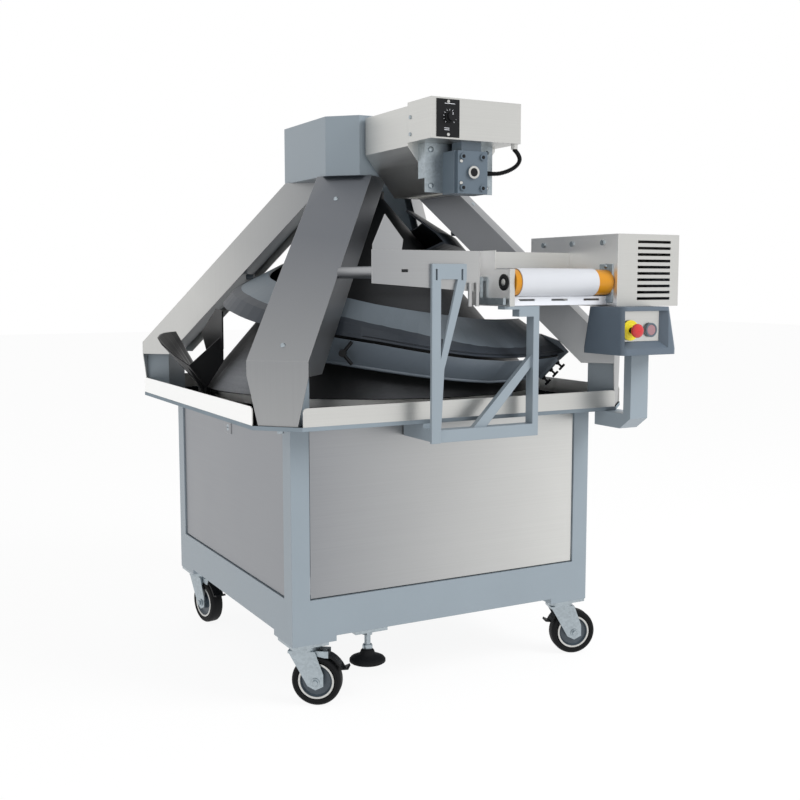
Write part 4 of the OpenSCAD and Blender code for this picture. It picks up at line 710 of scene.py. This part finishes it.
class ROUNDER_OT_wheels(RounderOperator, Operator):
    """Tyres, rims and axle bolts of the casters"""

    bl_idname = "rounder.wheels"
    bl_label = "Add the wheels"

    # Radii of tyre, rim and hub, then half widths of the wheel and of the rim's dished disc
    tyre, rim, hub = 62.5, 45, 20
    half, dish = 19, 11
    # The bright band under the tyre: how far it goes in and out from the rim, its inset and its round
    band_in, band_out, band_inset, band_round = 5, 0.5, 1, 1
    # One side of the rim's profile, from its middle out to the end of the hub
    rim_side = ((rim - 4, half - 3), (rim - 5, half - 3), (rim - 9, dish), (hub, dish), (hub, half),
                (hub - 2, half + 0.8), (9, half + 0.8))
    rim_sides = 48
    # Where the fork's outer face is, and what stands on it
    fork_face = 26.6
    washer = ((11, 0), (11, 1.2), (10.4, 1.8))
    washer_sides = 28
    hexagon = ((7.4, 1.8), (7.4, 6.6), (6.4, 7.6))

    def execute(self, context):
        soft = context.scene.rounder_sizes.tyre_round / MM
        profile = [(r, -z) for r, z in reversed(self.rim_side)] + list(self.rim_side)
        for number, name in enumerate(CASTERS, 1):
            place, axis = spot(f"roll_{name}"), way(f"roll_{name}")
            body = f"wheel_{name}"
            rubber = spun_ring(f"tyre_{name}", self.rim, self.tyre, self.half, soft, place, axis)
            dress(rubber, "black_rubber", body, f"caster_wheel_{number}")
            band = spun_ring(f"rim_band_{name}", self.rim - self.band_in, self.rim + self.band_out,
                             self.half - self.band_inset, self.band_round, place, axis)
            dress(band, "rim_light", body)
            disc = turned(f"rim_{name}", profile, place, axis, self.rim_sides)
            dress(disc, "rim_grey", body)
            self.bolts(name, place, axis)
        return {"FINISHED"}

    def bolts(self, name, place, axis):
        """Hexagon heads on washers at both ends of the axle."""
        parts = []
        for outward in (-axis, axis):
            end = place + outward * self.fork_face * MM
            parts.append(turned("axle_washer", self.washer, end, outward, self.washer_sides))
            parts.append(turned("axle_head", self.hexagon, end, outward, HEXAGON_SIDES))
        dress(joined(f"axle_bolts_{name}", parts), "zinc", f"fork_{name}")


class ROUNDER_OT_feet(RounderOperator, Operator):
    """Levelling feet with their domed pads and stems"""

    bl_idname = "rounder.feet"
    bl_label = "Add the feet"

    # Radii and heights above the underside of a foot
    pad = ((43, 0), (46, 2), (46, 7), (43, 11), (34, 15), (24, 19), (19, 24), (17, 30), (14, 33))
    pad_sides = 48
    nut = ((11, 33), (13, 36), (13, 43), (11, 46))
    stem_radius, stem_start, stem_sides = 8, 46.5, 32

    def execute(self, context):
        for name in ("foot_front", "foot_rear"):
            low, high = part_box(name)
            base = Vector((*middle(name).xy, low.z))
            dress(turned(name + "_pad", self.pad, base, UP, self.pad_sides), "black_rubber", name,
                  name)
            top = (high.z - low.z) / MM
            stem = (*self.nut, (self.stem_radius, self.stem_start), (self.stem_radius, top))
            dress(turned(name + "_stem", stem, base, UP, self.stem_sides), "zinc", name)
        return {"FINISHED"}


class ROUNDER_OT_conduit(RounderOperator, Operator):
    """Ribbed conduit between the duster's gearbox and its control box"""

    bl_idname = "rounder.conduit"
    bl_label = "Add the conduit"

    # Points of the route, in millimetres
    route = ((54, -511.5, 1308.75), (70, -511.5, 1308.75), (92.4, -516.4, 1309.9), (115.9, -524.5, 1317.5),
             (133.2, -532.6, 1329.7), (137.8, -539.1, 1343.7), (130, -542.4, 1356.5), (118, -544, 1367))
    ribs, rings_per_rib = 46, 4
    sides = 16
    # Mean radius, and how far the ribs stand out from it
    mean_radius, rib_height = 5.0, 0.75

    def execute(self, context):
        points = [Vector(p) * MM for p in self.route]
        count = self.ribs * self.rings_per_rib
        centres = [self.between(points, (len(points) - 1) * i / count) for i in range(count + 1)]
        turns = [2 * math.pi * k / self.sides for k in range(self.sides)]
        mesh = bpy.data.meshes.new("conduit")
        shell = bmesh.new()
        rings = []
        for i, centre in enumerate(centres):
            ahead = centres[min(i + 1, count)] - centres[max(i - 1, 0)]
            across = ahead.cross(BACK).normalized()
            other = across.cross(ahead).normalized()
            wave = math.cos(2 * math.pi * i / self.rings_per_rib)
            radius = (self.mean_radius + self.rib_height * wave) * MM
            rings.append([shell.verts.new(centre + radius * (across * math.cos(t) + other * math.sin(t)))
                          for t in turns])
        for one, two in zip(rings, rings[1:]):
            for k in range(self.sides):
                after = (k + 1) % self.sides
                shell.faces.new((one[k], one[after], two[after], two[k]))
        shell.faces.new(rings[0])
        shell.faces.new(reversed(rings[-1]))
        shell.to_mesh(mesh)
        shell.free()
        piece = bpy.data.objects.new("conduit", mesh)
        context.scene.collection.objects.link(piece)
        active(piece)
        close_up(edited())
        dress(piece, "black_plastic", "frame", "duster_conduit")
        return {"FINISHED"}

    @staticmethod
    def between(points, t):
        """A point of the smooth curve through the route."""
        i = min(int(t), len(points) - 2)
        u = t - i
        a, b, c, d = (points[min(max(k, 0), len(points) - 1)] for k in range(i - 1, i + 3))
        square = 2 * a - 5 * b + 4 * c - d
        cube = 3 * b - a - 3 * c + d
        return (2 * b + (c - a) * u + square * u ** 2 + cube * u ** 3) / 2


class ROUNDER_OT_track_trim(RounderOperator, Operator):
    """Rolled rim of the lower track, the strip on its upper edge and the bolts at its end"""

    bl_idname = "rounder.track_trim"
    bl_label = "Trim the track"

    # Lift and radius of each roll, as shares of the rim roll
    roll_shares = ((0.6, 1), (3.4, 0.55))
    # Steps for each degree round the cone in which the edges are read
    rim_steps, seal_steps = 4, 1
    # Degrees round the cone between which the strip lies, its lift and its radius
    seal_turns = (-70, -50)
    seal_lift, seal_radius = 2.6, 2.8
    # Degrees round the cone where the bar lies, and radians within which a corner is on that line
    bar_turn, bar_reach = -51, 0.01
    # The bar: half its width, depth below and height above the wall, what both ends leave free, its round
    bar_half, bar_sink, bar_rise, bar_low, bar_high, bar_round = 9, 2, 12, 4, 2, 1.5
    # T-bolts: places as shares of the slope, foot above the wall, stem, nut and handle
    bolt_shares = (0.14, 0.52, 0.86)
    bolt_foot = 11
    bolt_stem = ((3, 0), (3, 20))
    nut = ((6.5, 0), (6.5, 4), (5.6, 5))
    nut_lift = 1
    handle_lift, handle_half, handle_radius = 19, 10, 3.2

    def execute(self, context):
        roll = context.scene.rounder_sizes.rim_roll / MM
        rim = self.edge(min, self.rim_steps)
        rolls = [tube("roll", [p + UP * roll * lift * MM for p in rim], roll * share)
                 for lift, share in self.roll_shares]
        dress(joined("lower_track_rolls", rolls), "apron_coat", "lower_track")
        self.seal()
        self.end_bolts()
        return {"FINISHED"}

    def seal(self):
        """A dark round strip on the upper edge near the track's end, where the gap under the wall widens."""
        line = [p + UP * self.seal_lift * MM for p in self.edge(max, self.seal_steps, *self.seal_turns)]
        dress(tube("lower_track_seal", line, self.seal_radius), "black_rubber", "lower_track")

    def end_bolts(self):
        """A bar across the lower track near its end, with three T-bolts."""
        rim, top, ahead = self.slope_line(math.radians(self.bar_turn))
        around = UP.cross(ahead)
        slope = (top - rim).normalized()
        out = around.cross(slope)
        out = out if out.dot(ahead) > 0 else -out
        end = (top - rim).length / MM - self.bar_high
        bar = block("end_bar", (0, 0, 0), ((-self.bar_half, -self.bar_sink, self.bar_low),
                                           (self.bar_half, self.bar_rise, end)), self.bar_round)
        bar_frame = Matrix((around, out, slope)).transposed().to_4x4()
        bar_frame.translation = rim
        bar.data.transform(bar_frame)
        dress(bar, "apron_coat", "lower_track")
        bolts = []
        for share in self.bolt_shares:
            foot = rim.lerp(top, share) + out * self.bolt_foot * MM
            tip = foot + out * self.handle_lift * MM
            half = slope * self.handle_half * MM
            bolts.append(turned("t_stem", self.bolt_stem, foot, out, SCREW_SIDES))
            bolts.append(turned("t_nut", self.nut, foot + out * self.nut_lift * MM, out, HEXAGON_SIDES))
            bolts.append(tube("t_bar", [tip - half, tip + half], self.handle_radius))
        dress(joined("end_bolts", bolts), "black_plastic", "lower_track")

    def slope_line(self, wanted):
        """Where the wall's section nearest a turn starts and ends, and the way out from the cone."""
        corners = [(math.atan2(v.co.y, v.co.x), v.co) for v in frame["nodes"]["lower_track"].data.vertices]
        turn = min((t for t, p in corners), key=lambda t: abs(t - wanted))
        near = [p for t, p in corners if abs(t - turn) < self.bar_reach]
        ahead = Vector((math.cos(turn), math.sin(turn), 0))
        ends = [pick(near, key=lambda p: p.z) for pick in (min, max)]
        rim, top = (ahead * p.dot(ahead) + UP * p.z for p in ends)
        return rim, top, ahead

    @staticmethod
    def edge(pick, steps, first=-180, last=180):
        """The lowest or highest point of the lower track at each turn, in order round the cone."""
        rows = {}
        for vertex in frame["nodes"]["lower_track"].data.vertices:
            turn = round(math.degrees(math.atan2(vertex.co.y, vertex.co.x)) * steps)
            if first * steps <= turn <= last * steps:
                place = vertex.co.copy()
                rows[turn] = pick(rows.get(turn, place), place, key=lambda p: p.z)
        return [rows[turn] for turn in sorted(rows)]


class ROUNDER_OT_duster_fittings(RounderOperator, Operator):
    """Speed scale, screws and gearbox details of the flour duster"""

    bl_idname = "rounder.duster_fittings"
    bl_label = "Fit the duster"

    # Radius and height of the screws
    plate_screw, socket, gear_screw, bracket_bolt = (4.2, 2.4), (4.4, 1.6), (4.6, 3), (7, 4.5)
    plate_inset, bracket_inset = 6, 16
    # Marks of the scale: turns in degrees, where they start and end, how far they stand out and go in
    mark_turns = range(-135, 136, 27)
    mark_start, mark_end, mark_out, mark_in = 15, 18.5, 0.3, 0.2
    # Short lines: shift to the side and upwards, and half length
    lines = ((0, 30, 14), (-8, -27, 7), (-8, -31, 7))
    line_width = 1.4
    # The knob's profile from the plate outwards, and the corners of its line
    knob_height, knob_sides = 14.4, 36
    knob_profile = ((13, 0.4), (13, 2.4), (11, 4), (10.2, 13), (9.2, knob_height), (7, 14.6), (6.6, 13.8))
    knob_line = ((-0.6, -0.5, 3), (0.6, 1, 9.5))
    # Ring round the gearbox's bore: inner and outer radius, half depth and round; how far it stands out
    ring, ring_out = (10, 15.5, 2.4, 1), 0.6
    bore = ((9.8, 0), (9.8, 1.2), (6, 1.4))
    bore_sides = 32
    # How far bore and sockets stand out, and the places of sockets and screws about the gearbox's face
    bore_out = 0.2
    socket_places = ((-28, -bore_out, -37), (-28, -bore_out, 37), (28, -bore_out, -37), (28, -bore_out, 37))
    screw_places = ((-33, 3.8, -26), (-33, 3.8, 26))

    def execute(self, context):
        low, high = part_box("duster_control_plate")
        knob = spot("speed_knob_turn")
        self.scale(context, Vector((knob.x, low.y, knob.z)))
        x = (low.x + high.x) / 2
        inset = self.plate_inset * MM
        screws("plate_screws", [Vector((x, low.y, z)) for z in (low.z + inset, high.z - inset)], FRONT,
               self.plate_screw, "frame", "rim_light")
        self.knob(knob)
        self.gearbox()
        return {"FINISHED"}

    def scale(self, context, centre):
        """Plain marks round the knob and a few short lines, with no words."""
        half = context.scene.rounder_sizes.tick / MM / 2
        marks = []
        for turn in self.mark_turns:
            mark = block("mark", (0, 0, 0), ((-half, -self.mark_out, self.mark_start),
                                             (half, self.mark_in, self.mark_end)))
            mark.data.transform(Matrix.Rotation(math.radians(turn), 4, "Y"))
            mark.data.transform(Matrix.Translation(centre))
            marks.append(mark)
        for side, up, reach in self.lines:
            place = centre + Vector((side, 0, up)) * MM
            marks.append(block("mark", place, ((-reach, -self.mark_out, 0),
                                               (reach, self.mark_in, self.line_width))))
        dress(joined("speed_marks", marks), "white_plastic", "frame")

    def knob(self, place):
        face = Vector((place.x, low_corner("speed_knob").y, place.z))
        body = turned("knob_body", self.knob_profile, face + BACK * self.knob_height * MM, FRONT,
                      self.knob_sides)
        dress(body, "black_plastic", "speed_knob")
        line = block("knob_line", face, self.knob_line)
        dress(line, "white_plastic", "speed_knob")

    def gearbox(self):
        face = Vector((0, low_corner("duster_gearbox").y, spot("agitator_spin").z))
        ring = spun_ring("gear_ring", *self.ring, face + FRONT * self.ring_out * MM, BACK)
        dress(ring, "rim_light", "frame")
        bore = turned("gear_bore", self.bore, face + FRONT * self.bore_out * MM, FRONT, self.bore_sides)
        dress(bore, "black_plastic", "frame")
        screws("gear_sockets", about(face, self.socket_places), FRONT, self.socket, "frame", "black_plastic")
        screws("gear_screws", about(face, self.screw_places), FRONT, self.gear_screw, "frame", "rim_light")
        low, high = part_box("duster_gear_bracket")
        inset = self.bracket_inset * MM
        bolts = [Vector((low.x + inset, low.y, z)) for z in (low.z + inset, high.z - inset)]
        screws("bracket_bolts", bolts, FRONT, self.bracket_bolt, "frame")


class ROUNDER_OT_conveyor_fittings(RounderOperator, Operator):
    """Bearing cap of the front roller and bearing flange of the drive housing"""

    bl_idname = "rounder.conveyor_fittings"
    bl_label = "Fit the conveyor"

    # Radii and heights above the conveyor's side
    cap = ((20, 0), (20, 2.4), (18.4, 3.4), (13, 3.4), (12, 2), (9.5, 2))
    cap_sides = 40
    shaft_end = ((8.6, 1.8), (8.6, 3.2), (7.4, 4), (3, 4))
    shaft_sides = 32
    # Corners of the flange about the roller's axis on the housing, and its round
    flange_out = 3
    flange_corners = ((-flange_out, -26, -52), (0, 26, 46))
    flange_round = 1.2
    # Places of the slots and bolts, corners and round of a slot, radius and height of a bolt
    bolt_places = ((-flange_out, 0, -43), (-flange_out, 0, 41))
    slot_corners = ((-0.5, -3.5, -6), (0.4, 3.5, 6))
    slot_round = 0.3
    bolt = (5.5, 4)

    def execute(self, context):
        roller = spot("front_roller_spin")
        side = Vector((low_corner("conveyor_frame").x, roller.y, roller.z))
        dress(turned("bearing_cap", self.cap, side, LEFT, self.cap_sides), "black_plastic", "frame")
        dress(turned("bearing_end", self.shaft_end, side, LEFT, self.shaft_sides), "rim_light", "frame")
        self.flange(Vector((low_corner("conveyor_housing").x, roller.y, roller.z)))
        return {"FINISHED"}

    def flange(self, centre):
        """Bearing flange on the housing, with its bolts in short slots."""
        plate = block("drive_flange", centre, self.flange_corners, self.flange_round)
        dress(plate, "zinc", "frame")
        ends = about(centre, self.bolt_places)
        slots = [block("flange_slot", end, self.slot_corners, self.slot_round) for end in ends]
        dress(joined("flange_slots", slots), "black_plastic", "frame")
        screws("flange_bolts", ends, LEFT, self.bolt, "frame")


class ROUNDER_OT_control_fittings(RounderOperator, Operator):
    """Stop button with its neck and disc, and the ring of the start button"""

    bl_idname = "rounder.control_fittings"
    bl_label = "Fit the controls"

    # The stop button's head and neck, and how far behind the button's front they start
    head = ((11, 0), (15, 1), (17, 3.4), (17.4, 7), (16.6, 10.6), (14, 13.2), (9, 14.4), (4, 14.8))
    head_depth, head_sides = 14, 48
    neck = ((8, 0), (8, 36))
    neck_depth, neck_sides = 35, 32
    # The disc on the control plate
    disc = ((25.5, 0), (25.5, 1.2), (25, 1.6), (17.4, 1.7), (15, 3.6), (13, 3.8))
    disc_sides = 56
    # The start button's ring: inner and outer radius, half depth and round; how far it stands out
    ring, ring_out = (13.3, 18, 3.4, 1.4), 1

    def execute(self, context):
        plate = low_corner("control_plate").y
        stop, start = middle("stop_button"), middle("start_button")
        base = Vector((stop.x, low_corner("stop_button").y, stop.z)) + BACK * self.head_depth * MM
        dress(turned("stop_head", self.head, base, FRONT, self.head_sides), "red_plastic", "stop_button",
              "stop_button")
        neck = turned("stop_neck", self.neck, base + BACK * self.neck_depth * MM, FRONT, self.neck_sides)
        dress(neck, "black_plastic", "stop_button")
        dress(turned("stop_disc", self.disc, (stop.x, plate, stop.z), FRONT, self.disc_sides),
              "yellow_plastic", "frame")
        ring = spun_ring("start_ring", *self.ring, (start.x, plate - self.ring_out * MM, start.z), BACK)
        dress(ring, "gear_paint", "frame")
        return {"FINISHED"}


class ROUNDER_OT_stage(RounderOperator, Operator):
    """Pale floor, soft lamps, white surroundings and the camera"""

    bl_idname = "rounder.stage"
    bl_label = "Set the stage"

    # Camera sensor in millimetres, then the lamps' places, size and aim in metres
    sensor = 36
    key_place, fill_place = (2.6, -3.4, 3.4), (-3.4, -1.6, 2.6)
    lamp_size = 2.6
    lamp_aim = Vector((0, 0, 0.8))
    # Floor: size and drop in metres, its grey and roughness, and the strength and share of its own glow
    floor_size, floor_drop = 40, 0.0005
    floor_grey, floor_rough = (0.9, 0.9, 0.9, 1), 0.9
    floor_glow, floor_share = 1.05, 0.86

    def execute(self, context):
        stage = context.scene.rounder_stage
        self.camera(context, stage)
        self.floor()
        self.world(context, stage)
        self.lamp(context, "key_lamp", self.key_place, stage.key)
        self.lamp(context, "fill_lamp", self.fill_place, stage.fill)
        context.scene.view_settings.view_transform = "Standard"
        return {"FINISHED"}

    def camera(self, context, stage):
        yaw, pitch = stage.yaw, stage.pitch
        ahead = Vector((math.sin(yaw) * math.cos(pitch), math.cos(yaw) * math.cos(pitch), -math.sin(pitch)))
        right = Vector((math.cos(yaw), -math.sin(yaw), 0))
        place = Matrix((right, right.cross(ahead), -ahead)).transposed().to_4x4()
        place.translation = stage.eye
        camera = bpy.data.objects.new("camera", bpy.data.cameras.new("camera"))
        context.scene.collection.objects.link(camera)
        camera.matrix_world = place
        camera.data.sensor_width = self.sensor
        camera.data.lens = stage.lens
        context.scene.camera = camera

    def floor(self):
        """A floor that glows nearly white and keeps the object's shadow."""
        clear_selection()
        bpy.ops.mesh.primitive_plane_add(size=self.floor_size, location=(0, 0, -self.floor_drop))
        floor = bpy.context.object
        floor.name = "floor"
        finish = Finish("pale_floor").feed(base_color=self.floor_grey, roughness=self.floor_rough)
        floor.data.materials.append(finish.material)
        matt = Wire(finish, finish.shader.outputs[0])
        white = finish.node("ShaderNodeEmission", inputs={"Strength": self.floor_glow})
        both = finish.node("ShaderNodeMixShader", inputs={0: self.floor_share, 1: matt, 2: white})
        finish.join(finish.tree.nodes["Material Output"].inputs[0], both)

    def world(self, context, stage):
        """White where the camera, metal or glass looks, and a level light for the rest."""
        world = bpy.data.worlds.new("studio")
        world.use_nodes = True
        context.scene.world = world
        tree = world.node_tree
        rays = tree.nodes.new("ShaderNodeLightPath")
        seen = rays.outputs["Is Camera Ray"]
        for kind in ("Is Glossy Ray", "Is Transmission Ray"):
            either = tree.nodes.new("ShaderNodeMath")
            either.operation = "MAXIMUM"
            tree.links.new(seen, either.inputs[0])
            tree.links.new(rays.outputs[kind], either.inputs[1])
            seen = either.outputs[0]
        level = tree.nodes.new("ShaderNodeMapRange")
        level.inputs["To Min"].default_value = stage.sky
        level.inputs["To Max"].default_value = 1.0
        tree.links.new(seen, level.inputs["Value"])
        tree.links.new(level.outputs[0], tree.nodes["Background"].inputs["Strength"])
        tree.nodes["Background"].inputs["Color"].default_value = (1, 1, 1, 1)

    def lamp(self, context, name, place, power):
        """A soft lamp that metal doesn't mirror."""
        light = bpy.data.lights.new(name, "AREA")
        light.size = self.lamp_size
        light.energy = power
        lamp = bpy.data.objects.new(name, light)
        context.scene.collection.objects.link(lamp)
        lamp.location = place
        lamp.visible_glossy = False
        lamp.rotation_euler = (self.lamp_aim - Vector(place)).to_track_quat("-Z", "Y").to_euler()


STEPS = (ROUNDER_OT_stage, ROUNDER_OT_finishes, ROUNDER_OT_conduit, ROUNDER_OT_wheels, ROUNDER_OT_feet,
         ROUNDER_OT_track_trim, ROUNDER_OT_duster_fittings, ROUNDER_OT_conveyor_fittings,
         ROUNDER_OT_control_fittings)
GROUPS = {"rounder_colours": RounderColours, "rounder_sizes": RounderSizes, "rounder_stage": RounderStage}


class ROUNDER_PT_steps(Panel):
    """Lists the steps and the values that a user may change"""

    bl_label = "Dough rounder"
    bl_space_type = "VIEW_3D"
    bl_region_type = "UI"
    bl_category = "Rounder"

    def draw(self, context):
        for step in STEPS:
            self.layout.operator(step.bl_idname)
        for key, kind in GROUPS.items():
            for setting in kind.__annotations__:
                self.layout.prop(getattr(context.scene, key), setting)


def register():
    for kind in (*GROUPS.values(), *STEPS, ROUNDER_PT_steps):
        bpy.utils.register_class(kind)
    for key, group in GROUPS.items():
        setattr(bpy.types.Scene, key, PointerProperty(type=group))


def unregister():
    for key in GROUPS:
        delattr(bpy.types.Scene, key)
    for kind in (ROUNDER_PT_steps, *reversed(STEPS), *GROUPS.values()):
        bpy.utils.unregister_class(kind)


def main():
    register()
    for step in STEPS:
        group, name = step.bl_idname.split(".")
        getattr(getattr(bpy.ops, group), name)()


if __name__ == "__main__":
    main()
